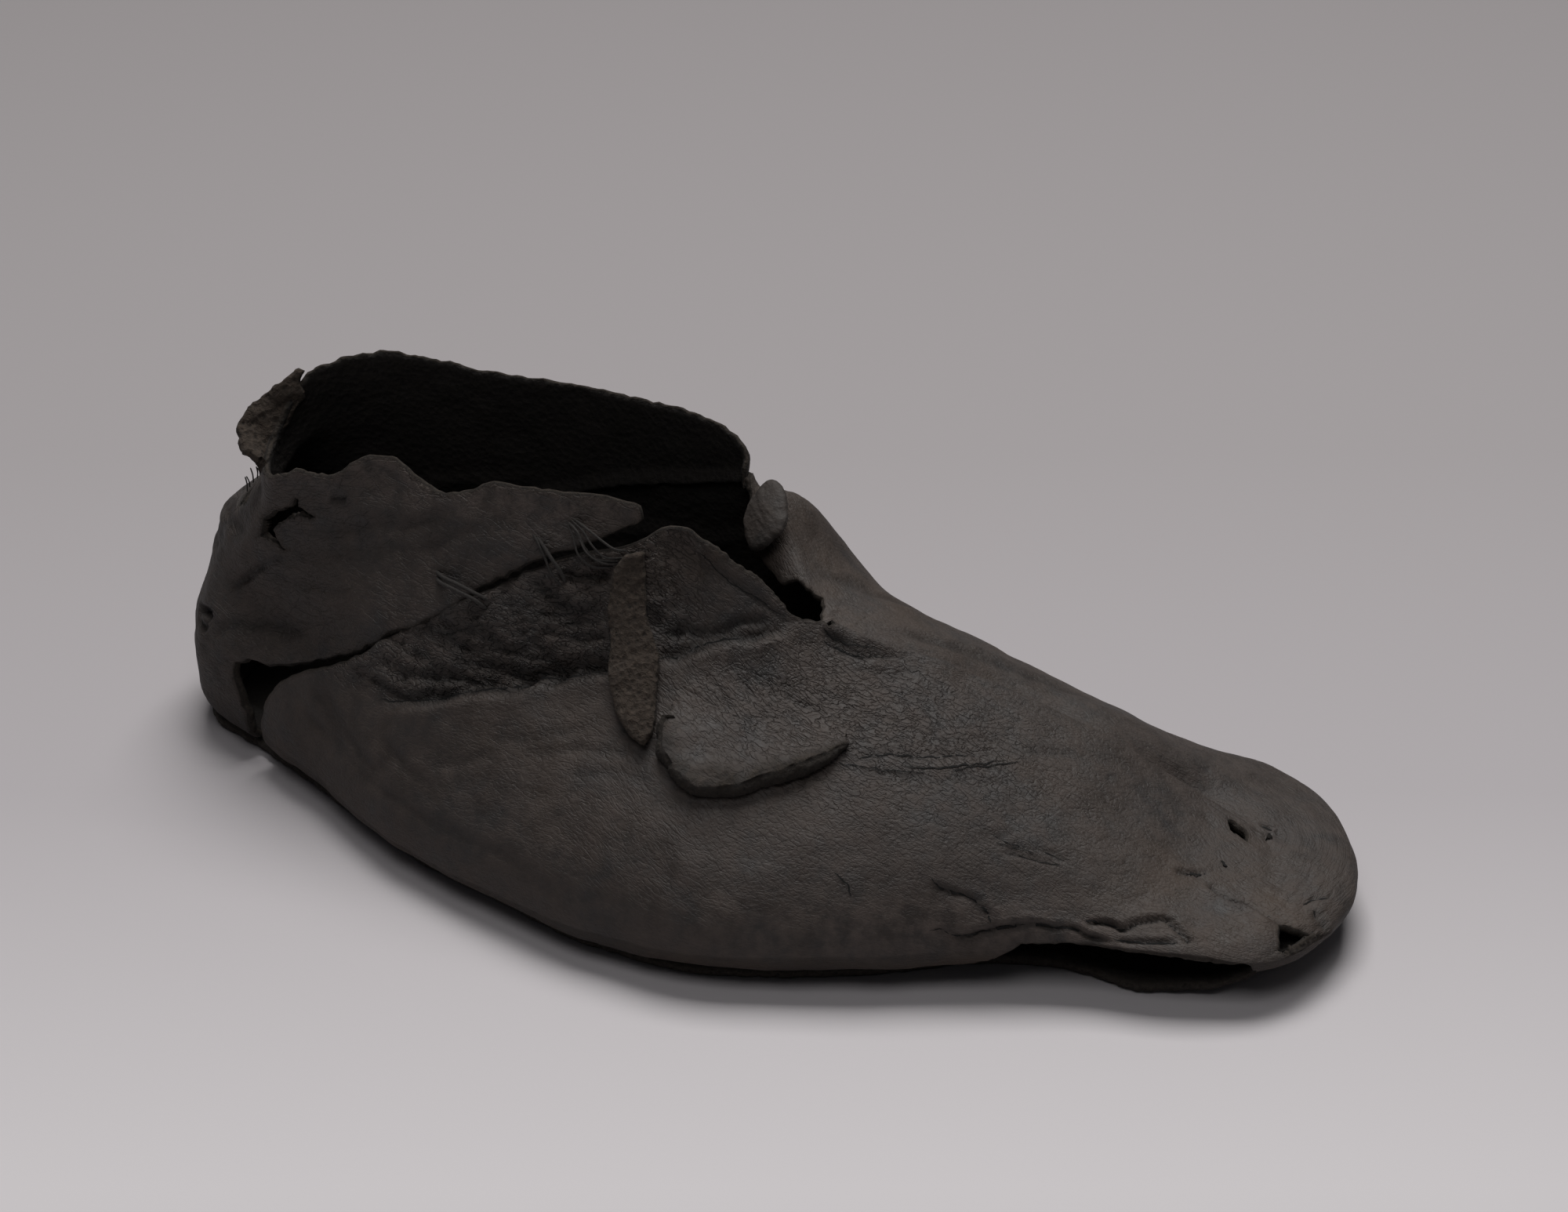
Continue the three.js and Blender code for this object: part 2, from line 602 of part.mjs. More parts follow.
function farTie() {
  const mirrored = (corner) => [2 * TIP - corner[0], corner[1]];
  const left = TIE.map((row) => mirrored(row.left));
  const right = TIE.map((row) => mirrored(row.right));
  const thickness = (along, across) => TIE_THICKNESS * rounded(STRAP_SIDE, across);
  return overlay(TIE_MESH, left, right, thickness);
}

function piece(name, body, color, roughness) {
  const { numProp, vertProperties, triVerts } = body.getMesh();
  const geometry = new THREE.BufferGeometry();
  geometry.setAttribute("position", new THREE.BufferAttribute(new Float32Array(vertProperties), numProp));
  geometry.setIndex(new THREE.BufferAttribute(new Uint32Array(triVerts), 1));
  geometry.computeVertexNormals();
  const material = new THREE.MeshStandardMaterial({ color, roughness, metalness: 0 });
  const mesh = new THREE.Mesh(geometry, material);
  mesh.name = name;
  return mesh;
}

const shoe = new THREE.Group();
shoe.add(piece("sole", sole(), 0x3a302a, 0.9));
shoe.add(piece("vamp", vamp(), 0x2f2c2b, 0.75));
shoe.add(piece("back_quarter", backQuarter(), 0x2b2828, 0.75));
shoe.add(piece("instep_tab", instepTab(), 0x332e2b, 0.85));
shoe.add(piece("tie_thong", tieThong(), 0x3d362f, 0.95));
shoe.add(piece("far_tie", farTie(), 0x3a322c, 0.85));

// The origin is the middle of the heel's tread
const HEEL_SPOT = [0.113, 0.033, 0];
shoe.position.copy(scaled(HEEL_SPOT)).negate();

export default shoe;
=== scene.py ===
"""A soft leather ankle shoe for the right foot, old and torn, on a pale floor.
Tables are in millimetres or shares of the shoe's sizes, X from heel to toe, -Y the outer side, +Z up."""
import math
from itertools import product

import bpy
import numpy as np
from mathutils import Matrix, Vector


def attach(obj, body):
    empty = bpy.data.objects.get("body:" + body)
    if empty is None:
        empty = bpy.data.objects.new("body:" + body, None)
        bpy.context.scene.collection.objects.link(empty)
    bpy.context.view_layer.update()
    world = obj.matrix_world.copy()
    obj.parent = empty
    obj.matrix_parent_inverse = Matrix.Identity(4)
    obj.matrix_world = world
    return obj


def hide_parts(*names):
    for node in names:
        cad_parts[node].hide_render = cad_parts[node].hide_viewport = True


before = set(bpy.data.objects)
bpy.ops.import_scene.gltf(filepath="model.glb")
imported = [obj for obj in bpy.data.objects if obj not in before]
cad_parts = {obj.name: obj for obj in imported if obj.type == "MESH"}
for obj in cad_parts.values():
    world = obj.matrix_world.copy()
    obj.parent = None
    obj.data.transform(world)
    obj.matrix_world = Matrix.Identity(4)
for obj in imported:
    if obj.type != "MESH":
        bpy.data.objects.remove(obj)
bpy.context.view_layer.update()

# Driving sizes, as in the part
MM = 0.001
LENGTH = 231.0
BALL_WIDTH = 90.0
COLLAR_HEIGHT = 70.0
SIZE = np.array([LENGTH, BALL_WIDTH, COLLAR_HEIGHT])
HEEL_SPOT = np.array([0.113, 0.033, 0.0]) * SIZE
UPPER_WALL = 2.2
SOLE_WALL = 2.8
TURN_IN = 6.0
MARGIN = 4.0
ARCH_LIFT = 0.5
TOE_SPRING = 3.0
SEAM_GAPE = 2.2
HEEL_FLARE = 4.5
FLAP_REACH = 5.5
CLEARANCE = 0.3
HEEL_FLAT_END = 0.26
FOREFOOT_FLAT = 0.46
TOE_BREAK = 0.86
TURN_HANDLE = 0.6
STATION_STEP = 0.02
SKIN_STEP = 0.01
FACE_WALL = 2.1  # wall of the dressed upper, thinner at its rims
INSIDE_PAINTED_SHADE = 0.72  # how far painted shade darkens the inside of the shells, their rims, the sole's top and the tab's underside
# near-black colour that painted shade mixes towards
NEAR_BLACK = (0.0022, 0.002, 0.0019)

# Widest line of the upper from the heel back to the toe tip: outer side, inner side
EDGE = [
    ([0.006, 0.033, 0.271], [0.006, 0.033, 0.271]),
    ([0.03, -0.133, 0.214], [0.03, 0.178, 0.214]),
    ([0.095, -0.222, 0.129], [0.095, 0.267, 0.171]),
    ([0.182, -0.344, 0.104], [0.199, 0.311, 0.157]),
    ([0.286, -0.489, 0.094], [0.32, 0.311, 0.157]),
    ([0.424, -0.6, 0.103], [0.459, 0.333, 0.157]),
    ([0.494, -0.626, 0.109], [0.528, 0.356, 0.157]),
    ([0.567, -0.618, 0.114], [0.597, 0.378, 0.157]),
    ([0.684, -0.514, 0.129], [0.71, 0.411, 0.157]),
    ([0.797, -0.378, 0.143], [0.81, 0.389, 0.143]),
    ([0.892, -0.322, 0.157], [0.892, 0.411, 0.143]),
    ([0.974, -0.222, 0.136], [0.957, 0.3, 0.143]),
    ([1, 0.044, 0.136], [1, 0.044, 0.136]),
]

# Top line at the same stations
TOP = [
    ([0.078, 0, 0.871], [0.078, 0, 0.871]),
    ([0.104, -0.111, 0.857], [0.091, 0.122, 0.972]),
    ([0.152, -0.133, 0.914], [0.139, 0.222, 1.005]),
    ([0.216, -0.133, 0.943], [0.225, 0.267, 0.979]),
    ([0.312, -0.156, 0.96], [0.338, 0.278, 0.986]),
    ([0.446, -0.133, 0.963], [0.459, 0.211, 0.971]),
    ([0.513, -0.106, 0.839], [0.494, 0.067, 0.757]),
    ([0.576, -0.067, 0.714], [0.576, -0.067, 0.714]),
    ([0.68, 0.033, 0.571], [0.68, 0.033, 0.571]),
    ([0.784, 0.089, 0.429], [0.784, 0.089, 0.429]),
    ([0.861, 0.133, 0.264], [0.861, 0.133, 0.264]),
    ([0.913, 0.111, 0.2], [0.913, 0.111, 0.2]),
    ([0.913, 0.111, 0.2], [0.913, 0.111, 0.2]),
]

# Fullness: rise, lean, drop of the outer and inner rib, then tilt and the turn of both sides
SWELL = [
    ([0.3, 0, 0.3], [0.3, 0, 0.3], 0, (0.5, 0.5)),
    ([0.3, 0, 0.3], [0.3, 0, 0.3], 0, (0.5, 0.5)),
    ([0.25, 0, 0.35], [0.25, 0, 0.35], 0, (0.65, 0.65)),
    ([0.25, 0, 0.35], [0.25, 0, 0.35], 0, (0.85, 0.85)),
    ([0.3, 0, 0.4], [0.25, 0, 0.35], 0, (1, 1)),
    ([0.38, 0, 0.45], [0.25, 0.1, 0.3], 0, (1, 1)),
    ([0.42, 0.1, 0.31], [0.62, 0.5, -0.58], 0.25, (1, 1)),
    ([0.45, 0.22, 0.15], [0.35, 0.56, -0.02], 0.45, (1, 1)),
    ([0.5, 0.45, 0.02], [0.38, 0.32, 0], 0.1, (1.3, 1)),
    ([0.5, 0.5, 0], [0.33, 0.28, 0], 0, (2, 1)),
    ([0.5, 0.5, 0], [0.4, 0.3, 0], 0, (2.2, 1)),
    ([0.6, 0.5, 0], [0.6, 0.5, 0], 0, (1.6, 1)),
    ([0.6, 0.5, 0], [0.6, 0.5, 0], 0, (1, 1)),
]
TIP = len(EDGE) - 1
BALL = 7

# Seams: height, station, gape as a share of SEAM_GAPE
OUTER_SEAM = np.array([
    (0, 2.05, 2.4), (0.07, 2, 3.3), (0.12, 1.93, 4.4), (0.19, 1.94, 4.9), (0.25, 2.06, 4.4),
    (0.29, 2.24, 3.3),
    (0.33, 2.43, 2.6), (0.4, 2.82, 1.9), (0.47, 3.1, 1.2), (0.58, 3.39, 1), (0.65, 3.67, 0.8),
    (0.71, 3.94, 0.8),
    (0.8, 4.23, 1.3), (0.86, 4.45, 1.4), (0.9, 4.69, 2.6), (0.93, 4.81, 2.4), (0.97, 4.97, 2.4),
    (1, 5.07, 4.6),
])
INNER_SEAM = np.array([
    (0, 2.3, -1.2), (0.35, 2.65, -1.2), (0.58, 3.38, -1.2), (0.7, 4, -1.2), (0.8, 4.6, -1.2),
    (0.9, 5.2, -1),
    (1, 5.4, -0.8),
])

# Torn rims: station (inner side of the quarter below zero) and height left of the wall
QUARTER_RIM = np.array([
    (-5.2, 0.985), (-4.8, 1), (-1, 1), (-0.2, 0.93), (0.6, 0.89), (1, 0.92), (1.35, 0.955), (1.55, 0.965),
    (1.74, 0.95), (1.94, 0.94), (2.1, 0.935), (2.26, 0.945), (2.42, 0.965), (2.54, 0.985), (2.66, 1),
    (2.94, 0.995),
    (3.12, 0.975), (3.24, 0.955), (3.34, 0.945), (3.46, 0.94), (3.6, 0.945), (3.74, 0.96), (3.84, 0.975),
    (3.92, 0.995), (4.06, 1), (4.76, 1), (4.86, 0.995), (4.92, 0.985), (5.1, 0.965),
])
OUTER_THROAT = np.array([
    (4.8, 1), (6.12, 1), (6.32, 0.995), (6.52, 0.975), (6.7, 0.955), (6.82, 0.96), (6.96, 0.98), (7.06, 1),
])
INNER_THROAT = np.array([(5.4, 0.97), (5.8, 1), (6.35, 1), (6.5, 0.96), (6.88, 0.89), (7, 1)])

# Open seam between the outer wall and the sole at the toe: station and lowest height left of the wall
TOE_MOUTH = np.array([
    (8.3, -2), (8.55, -0.6), (8.9, 0.04), (9.5, 0.07), (10.4, 0.08), (10.7, 0.03), (10.9, -0.7),
    (11.1, -2),
])

# Instep tab: rough lower edge and the line where it runs out
TAB_LOW = [
    (5.8, 0.56), (5.86, 0.515), (6, 0.478), (6.22, 0.45), (6.46, 0.437), (6.68, 0.45), (6.9, 0.475),
    (7.08, 0.515),
    (7.26, 0.56), (7.4, 0.605), (7.5, 0.655),
]
TAB_HIGH = [
    (5.66, 0.66), (5.85, 0.74), (6.05, 0.8), (6.3, 0.835), (6.5, 0.855), (6.7, 0.86), (6.95, 0.85),
    (7.12, 0.83),
    (7.28, 0.8), (7.38, 0.76), (7.44, 0.72),
]
THONG_LEFT = [
    (4.82, 0.895), (4.78, 0.855), (4.77, 0.815), (4.8, 0.745), (4.88, 0.68), (4.94, 0.62), (5.06, 0.56),
    (5.2, 0.52),
    (5.42, 0.49), (5.66, 0.478),
]
THONG_RIGHT = [
    (4.94, 0.91), (4.96, 0.875), (5, 0.83), (5.08, 0.76), (5.22, 0.715), (5.34, 0.68), (5.46, 0.625),
    (5.56, 0.575),
    (5.66, 0.54), (5.7, 0.505),
]
TIE_LEFT = [(5.74, 0.985), (5.7, 0.94), (5.72, 0.89), (5.78, 0.84), (5.9, 0.8)]
TIE_RIGHT = [(6.08, 0.99), (6.22, 0.95), (6.3, 0.9), (6.26, 0.86), (6.12, 0.81)]

# Outlines of the tears and holes as stations and heights
STAR_TEAR = [
    (1.06, 0.725), (1.26, 0.785), (1.48, 0.81), (1.58, 0.83), (1.6, 0.855), (1.69, 0.85), (1.7, 0.82),
    (2.02, 0.797),
    (1.58, 0.775), (1.46, 0.735), (1.4, 0.71), (1.72, 0.655), (1.3, 0.67), (1.17, 0.645), (1.2, 0.69),
]
BACK_TEAR = [(-0.62, 0.675), (-0.1, 0.665), (0.3, 0.65), (0.28, 0.6), (-0.2, 0.615), (-0.65, 0.625)]
TOE_TEARS = [
    [(10.42, 0.95), (10.7, 0.94), (10.72, 0.9), (10.45, 0.92)],
    [(11.02, 0.42), (11.25, 0.3), (11.5, 0.02), (11.1, 0.06), (10.98, 0.2)],
]
# Torn piece standing out at the back of the heel, then the flap: station, reach, side and rise of its rows
LOBE = {"station": -0.35, "spread": 1.1, "height": 0.5, "low": 0.16, "high": 0.085}
FLAP = [
    (-0.85, 0.15, 0.1, 0.1), (-0.65, 0.5, 0.05, 0.12), (-0.4, 0.9, -0.05, 0.12), (-0.15, 1.1, -0.2, 0.08),
    (0.1, 0.8, -0.45, -0.02), (0.3, 0.35, -0.45, -0.1), (0.45, 0.1, -0.2, -0.1),
]
FLAP_ROOT = 0.06  # how deep the flap's root lies below the rim, as a share of the wall's height

# Dents of the forepart: station, height, reach along and up, and depth in mm
DENTS = [
    (17.25, 0.84, 0.7, 0.24, 5.0), (15.7, 0.93, 0.7, 0.16, 3.0), (14.1, 0.97, 0.5, 0.16, 2.2),
    (4.25, 0.575, 0.8, 0.08, 1.8),
    (10.6, 1, 0.9, 0.3, -0.4),
]
QUARTER_DENTS = [(2.1, 0.42, 1.3, 0.12, 3.4), (-0.2, 0.76, 0.9, 0.06, 2.2)]

# Creases of the forepart: depth, half width, step across it, path of station and height
VAMP_CREASES = [
    (2.0, 1.3, -1.3, [(3.42, 0.38), (3.6, 0.395), (3.9, 0.44), (4.12, 0.485), (4.4, 0.535), (4.48, 0.56),
                      (4.66, 0.585), (4.92, 0.63), (5.12, 0.66), (5.3, 0.69)]),
    (1.2, 0.9, -0.7, [(5.1, 0.655), (5.36, 0.685), (5.54, 0.7), (5.72, 0.74), (6.02, 0.785), (6.32, 0.83),
                      (6.6, 0.885), (6.78, 0.93)]),
    (1.1, 0.8, -0.3, [(5.0, 0.74), (5.14, 0.745), (5.3, 0.74), (5.5, 0.76), (5.66, 0.765), (5.98, 0.8),
                      (6.1, 0.835),
                      (6.4, 0.885), (6.64, 0.915)]),
    (1.3, 0.8, -0.2, [(3.56, 0.475), (3.68, 0.485), (3.8, 0.49), (4.04, 0.51), (4.24, 0.535),
                      (4.36, 0.56)]),
    (0.9, 0.7, 0, [(3.86, 0.545), (4.1, 0.56), (4.28, 0.57), (4.4, 0.565), (4.46, 0.56)]),
    (1.1, 0.7, -0.2, [(4.42, 0.55), (4.48, 0.56), (4.58, 0.595), (4.74, 0.625), (4.92, 0.635),
                      (5.1, 0.65)]),
    (0.7, 0.6, 0, [(4.22, 0.555), (4.34, 0.575), (4.48, 0.58), (4.7, 0.61), (4.9, 0.67)]),
    (0.8, 0.7, 0, [(3.7, 0.635), (3.85, 0.63), (4.04, 0.63), (4.24, 0.61), (4.4, 0.615), (4.58, 0.61),
                   (4.8, 0.65)]),
    (0.7, 0.7, 0, [(4.2, 0.7), (4.36, 0.66), (4.5, 0.63), (4.62, 0.61)]),
    (0.7, 0.7, 0, [(4.36, 0.73), (4.42, 0.715), (4.54, 0.705), (4.68, 0.715), (4.82, 0.73)]),
    (0.7, 0.7, 0, [(3.3, 0.405), (3.38, 0.415), (3.58, 0.41), (3.74, 0.415)]),
    (0.6, 0.7, 0, [(3.6, 0.6), (3.66, 0.6), (3.82, 0.59), (4.0, 0.595), (4.2, 0.59)]),
    (0.5, 0.6, 0, [(3.95, 0.69), (4.1, 0.645), (4.3, 0.6)]),
    (0.5, 0.6, 0, [(4.0, 0.7), (4.2, 0.665), (4.4, 0.64), (4.6, 0.65), (4.8, 0.69)]),
    (0.6, 0.6, 0, [(4.1, 0.73), (4.35, 0.69), (4.6, 0.675), (4.85, 0.7)]),
    (0.5, 0.6, 0, [(3.75, 0.64), (3.9, 0.605), (4.1, 0.575)]),
    (0.5, 0.6, 0, [(3.5, 0.53), (3.7, 0.53), (3.9, 0.52), (4.1, 0.535)]),
    (0.4, 0.6, 0, [(3.35, 0.47), (3.5, 0.46), (3.7, 0.45)]),
    (2.6, 0.8, 0, [(4.46, 0.805), (4.52, 0.812), (4.6, 0.818), (4.68, 0.826), (4.76, 0.84)]),
    (1.0, 0.9, 0.5, [(4.3, 0.8), (4.36, 0.775), (4.44, 0.75), (4.56, 0.74), (4.66, 0.74), (4.8, 0.755)]),
    (0.45, 1.1, 0, [(2.84, 0.32), (2.92, 0.3), (3.12, 0.255), (3.34, 0.225), (3.56, 0.2), (3.8, 0.19)]),
    (0.4, 1.0, 0, [(2.7, 0.31), (2.76, 0.3), (2.9, 0.27), (3.1, 0.225), (3.3, 0.19)]),
    (0.35, 0.9, 0, [(3.6, 0.29), (3.76, 0.27), (3.94, 0.245), (4.2, 0.23)]),
    (0.3, 0.7, 0, [(4.1, 0.29), (4.2, 0.305), (4.4, 0.36), (4.5, 0.39)]),
    (0.35, 0.7, 0, [(4.4, 0.39), (4.46, 0.4), (4.72, 0.445), (5.0, 0.49)]),
    (0.35, 0.7, 0, [(4.62, 0.38), (4.72, 0.4), (4.96, 0.43), (5.26, 0.45), (5.5, 0.455)]),
    (0.3, 0.7, 0, [(4.9, 0.36), (5.2, 0.39), (5.6, 0.41), (6.0, 0.41)]),
    (0.8, 0.7, 0.2, [(7.02, 0.965), (7.12, 0.952), (7.26, 0.955), (7.48, 0.985)]),
    (0.8, 0.7, 0.2, [(7.0, 0.935), (7.2, 0.925), (7.34, 0.925), (7.46, 0.95), (7.62, 0.965)]),
    (0.5, 0.6, 0.1, [(7.3, 0.9), (7.46, 0.885), (7.56, 0.89), (7.64, 0.905), (7.8, 0.93)]),
    (0.35, 0.8, 0, [(7.5, 0.62), (7.62, 0.63), (7.82, 0.66), (8.06, 0.685), (8.32, 0.735), (8.62, 0.8),
                    (9.06, 0.88),
                    (9.5, 0.95)]),
    (0.3, 0.7, 0, [(7.6, 0.58), (7.9, 0.6), (8.3, 0.63), (8.6, 0.67)]),
    (0.3, 0.6, 0, [(7.9, 0.72), (8.2, 0.76), (8.5, 0.82)]),
    (0.35, 0.6, 0, [(6.14, 0.745), (6.42, 0.72), (6.64, 0.685)]),
    (0.35, 0.6, 0, [(6.5, 0.75), (6.74, 0.735), (6.92, 0.72)]),
    (0.35, 0.6, 0, [(6.8, 0.755), (7.08, 0.73), (7.26, 0.73)]),
    (0.3, 0.6, 0, [(5.9, 0.69), (6.2, 0.67), (6.5, 0.63)]),
    (0.4, 0.4, 0, [(8.5, 0.5), (8.56, 0.49), (8.72, 0.465), (8.92, 0.46), (9.1, 0.45), (9.2, 0.45)]),
    (0.35, 0.4, 0, [(8.68, 0.44), (8.74, 0.435), (8.9, 0.42), (9.1, 0.425)]),
    (0.5, 0.45, 0.2, [(8.32, 0.29), (8.38, 0.28), (8.52, 0.26), (8.62, 0.225), (8.7, 0.185),
                      (8.72, 0.16)]),
    (1.0, 0.5, 0.4, [(8.36, 0.12), (8.44, 0.11), (8.54, 0.08), (8.62, 0.095), (8.72, 0.105), (8.78, 0.13),
                     (8.9, 0.14), (8.96, 0.15), (9.06, 0.155), (9.14, 0.145), (9.22, 0.16), (9.3, 0.16)]),
    (0.9, 0.45, 0.3, [(9.24, 0.165), (9.3, 0.16), (9.38, 0.125), (9.48, 0.115), (9.6, 0.12)]),
    (0.9, 0.45, 0.2, [(9.36, 0.22), (9.42, 0.225), (9.58, 0.24), (9.66, 0.225), (9.76, 0.275),
                      (9.94, 0.33), (10.0, 0.34)]),
    (1.0, 0.5, 0.2, [(9.96, 0.36), (10.0, 0.34), (10.1, 0.285), (10.2, 0.235), (10.24, 0.2)]),
    (0.6, 0.5, 0.1, [(9.6, 0.14), (9.8, 0.15), (10.0, 0.17), (10.15, 0.22)]),
    (1.0, 0.35, 0.2, [(9.95, 0.595), (9.98, 0.6), (10.1, 0.62), (10.26, 0.65), (10.3, 0.655)]),
    (1.3, 0.45, -0.5, [(10.28, 0.6), (10.32, 0.59), (10.44, 0.56), (10.6, 0.545), (10.72, 0.535),
                       (10.94, 0.45),
                       (11.04, 0.4)]),
    (0.6, 0.35, 0, [(10.36, 0.75), (10.4, 0.73), (10.45, 0.72)]),
    (0.8, 0.4, 0, [(12.9, 0.9), (13.05, 0.92), (13.2, 0.93)]),
    (0.8, 0.4, 0, [(12.6, 0.86), (12.75, 0.88), (12.85, 0.88)]),
    (0.8, 0.45, 0.3, [(11.48, 0.4), (11.5, 0.31), (11.5, 0.2), (11.5, 0.095), (11.48, 0.02)]),
    (0.6, 0.4, 0, [(11.5, 0.46), (11.54, 0.435), (11.62, 0.39), (11.72, 0.335), (11.8, 0.3)]),
    (0.4, 0.6, 0, [(5.4, 0.965), (5.9, 0.94), (6.3, 0.94), (6.7, 0.94), (6.95, 0.955)]),
    (0.3, 1.0, 0, [(2.6, 0.22), (3.0, 0.2), (3.6, 0.16), (4.4, 0.13), (5.2, 0.1)]),
    (0.5, 1.2, 0, [(16.6, 0.9), (16.2, 0.8), (15.7, 0.7), (15.2, 0.6)]),
    (0.4, 1.2, 0, [(17.4, 0.85), (17.0, 0.7), (16.7, 0.55), (16.5, 0.4)]),
    (0.6, 1.4, 0, [(18.3, 0.75), (18.8, 0.65), (19.5, 0.58), (20.2, 0.5)]),
    (0.4, 1.2, 0, [(18.6, 0.5), (19.3, 0.42), (20.2, 0.36)]),
]
QUARTER_CREASES = [
    (0.5, 1.3, 0, [(-0.6, 0.42), (0.0, 0.45), (0.7, 0.5)]),
    (0.4, 1.0, 0, [(-0.5, 0.38), (0.1, 0.41), (0.6, 0.44)]),
    (0.5, 1.0, 0.2, [(-0.2, 0.52), (0.3, 0.56), (0.9, 0.62)]),
    (0.6, 0.7, 0, [(1.1, 0.39), (1.18, 0.42), (1.34, 0.495), (1.44, 0.54), (1.6, 0.57)]),
    (0.5, 0.7, 0, [(1.2, 0.44), (1.26, 0.46), (1.4, 0.535), (1.64, 0.615), (1.9, 0.64)]),
    (1.0, 0.5, 0, [(2.22, 0.86), (2.28, 0.865), (2.4, 0.875), (2.5, 0.88)]),
    (1.8, 0.7, 0, [(0.68, 0.13), (0.75, 0.17), (0.85, 0.2), (1.0, 0.22), (1.12, 0.21)]),
    (1.2, 0.7, 0, [(0.7, 0.14), (0.85, 0.14), (1.02, 0.16), (1.12, 0.2)]),
    (0.3, 1.3, 0, [(1.9, 0.74), (2.5, 0.78), (3.3, 0.84), (4.0, 0.9)]),
    (0.25, 1.2, 0, [(1.6, 0.66), (2.3, 0.69), (3.0, 0.74), (3.7, 0.82)]),
    (0.25, 1.0, 0, [(1.4, 0.55), (2.1, 0.57), (2.8, 0.6)]),
    (0.3, 0.8, 0, [(3.1, 0.8), (3.4, 0.86), (3.7, 0.92)]),
    (0.3, 0.8, 0, [(3.4, 0.78), (3.7, 0.84), (4.0, 0.9)]),
    (0.5, 1.2, -0.3, [(1.15, 0.16), (1.5, 0.3), (1.9, 0.38), (2.4, 0.42)]),
    (0.5, 1.4, 0, [(-2.2, 0.5), (-2.8, 0.6), (-3.6, 0.66)]),
    (0.4, 1.4, 0, [(-1.4, 0.3), (-2.0, 0.42), (-2.5, 0.48)]),
]


def noise(places, seed):
    """Smooth seeded noise from -1 to 1 at an array of places."""
    cell = np.floor(places).astype(np.int64)
    part = places - cell
    ease = part * part * (3 - 2 * part)
    total = np.zeros(len(places))
    for corner in product((0, 1), repeat=3):
        key = (cell + corner) @ np.array([73856093, 19349663, 83492791]) + seed * 7919
        key = (key ^ (key >> 13)) * 1274126177
        value = ((key ^ (key >> 16)) & 0xFFFF) / 0x7FFF - 1
        total += value * np.prod(np.where(corner, ease, 1 - ease), axis=1)
    return total


def cloudy(places, seed, octaves=3):
    total = np.zeros(len(places))
    for octave in range(octaves):
        total += noise(places * 2**octave, seed + octave) / 2**octave
    return total


def folds(places, seed, narrow=0.35):
    """0 along thin winding valleys, 1 on the soft folds between them."""
    return np.clip(np.abs(noise(places, seed)) / narrow, 0, 1) ** 0.8


def turned(flat, angle, along, across):
    """Coordinates on the surface turned by degrees and measured in folds of the given size in mm."""
    c, s = math.cos(math.radians(angle)), math.sin(math.radians(angle))
    return np.stack([(c * flat[:, 0] + s * flat[:, 1]) / along, (c * flat[:, 1] - s * flat[:, 0]) / across,
                     flat[:, 2]], -1)


def drifted(flat, points, reach, seed):
    """Coordinates on the surface moved to and fro by reach in mm."""
    sway = [noise(points / 5, seed), noise(points / 5, seed + 1), np.zeros(len(points))]
    return flat + reach * np.stack(sway, -1)


def smooth(value, start, end):
    share = np.clip((value - start) / (end - start), 0, 1)
    return share * share * (3 - 2 * share)


def on_line(points, place, closed=True):
    """Catmull-Rom line through the points at places 0, 1, 2 and so on."""
    count = len(points)
    place = np.asarray(place, float)
    whole = np.floor(place).astype(int)
    if not closed:
        whole = np.clip(whole, 0, count - 2)
    t = (place - whole)[..., None]
    pick = (lambda i: points[i % count]) if closed else (lambda i: points[np.clip(i, 0, count - 1)])
    before, start, end, after = (pick(whole + k) for k in (-1, 0, 1, 2))
    out, into = (end - before) / 2, (after - start) / 2
    cubic = (2 * start - 2 * end + out + into) * t**3
    return cubic + (-3 * start + 3 * end - 2 * out - into) * t**2 + out * t + start


def rib_controls(side):
    edge = np.array([row[side] for row in EDGE]) * SIZE
    top = np.array([row[side] for row in TOP]) * SIZE
    rise, lean, drop = np.array([row[side] for row in SWELL]).T
    tilt = np.array([row[2] for row in SWELL])
    height = top[:, 2] - edge[:, 2]
    low = edge.copy()
    low[:, 2] += rise * height
    high = top.copy()
    high[:, :2] += lean[:, None] * (edge - top)[:, :2]
    high[:, 2] += tilt * (high[:, 1] - top[:, 1]) - drop * height
    return [edge, low, high, top]


LINES = [np.concatenate([a, b[-2:0:-1]]) for a, b in zip(rib_controls(0), rib_controls(1))]
TURNS = np.array([row[3] for row in SWELL], float)
TURNS = np.concatenate([TURNS[:, 0], TURNS[-2:0:-1, 1]])[:, None]


def tread(x):
    share = x / LENGTH
    waist = math.pi * np.clip((share - HEEL_FLAT_END) / (FOREFOOT_FLAT - HEEL_FLAT_END), 0, 1)
    return ARCH_LIFT * np.sin(waist) ** 2 + TOE_SPRING * smooth(share, TOE_BREAK, 1)


def unit(vectors):
    return vectors / np.maximum(np.linalg.norm(vectors, axis=-1, keepdims=True), 1e-9)


def sole_seam(station):
    edge = on_line(LINES[0], station)
    ahead = on_line(LINES[0], station + STATION_STEP) - on_line(LINES[0], station - STATION_STEP)
    inward = unit(np.stack([-ahead[..., 1], ahead[..., 0], np.zeros(ahead.shape[:-1])], -1))
    turn = TURN_IN * on_line(TURNS, station)
    seam = edge + inward * turn
    seam[..., 2] = tread(seam[..., 0]) + SOLE_WALL + CLEARANCE
    return edge, inward, turn, seam


def bezier(a, b, c, d, t):
    t = t[..., None]
    return a * (1 - t) ** 3 + 3 * b * t * (1 - t) ** 2 + 3 * c * t * t * (1 - t) + d * t**3


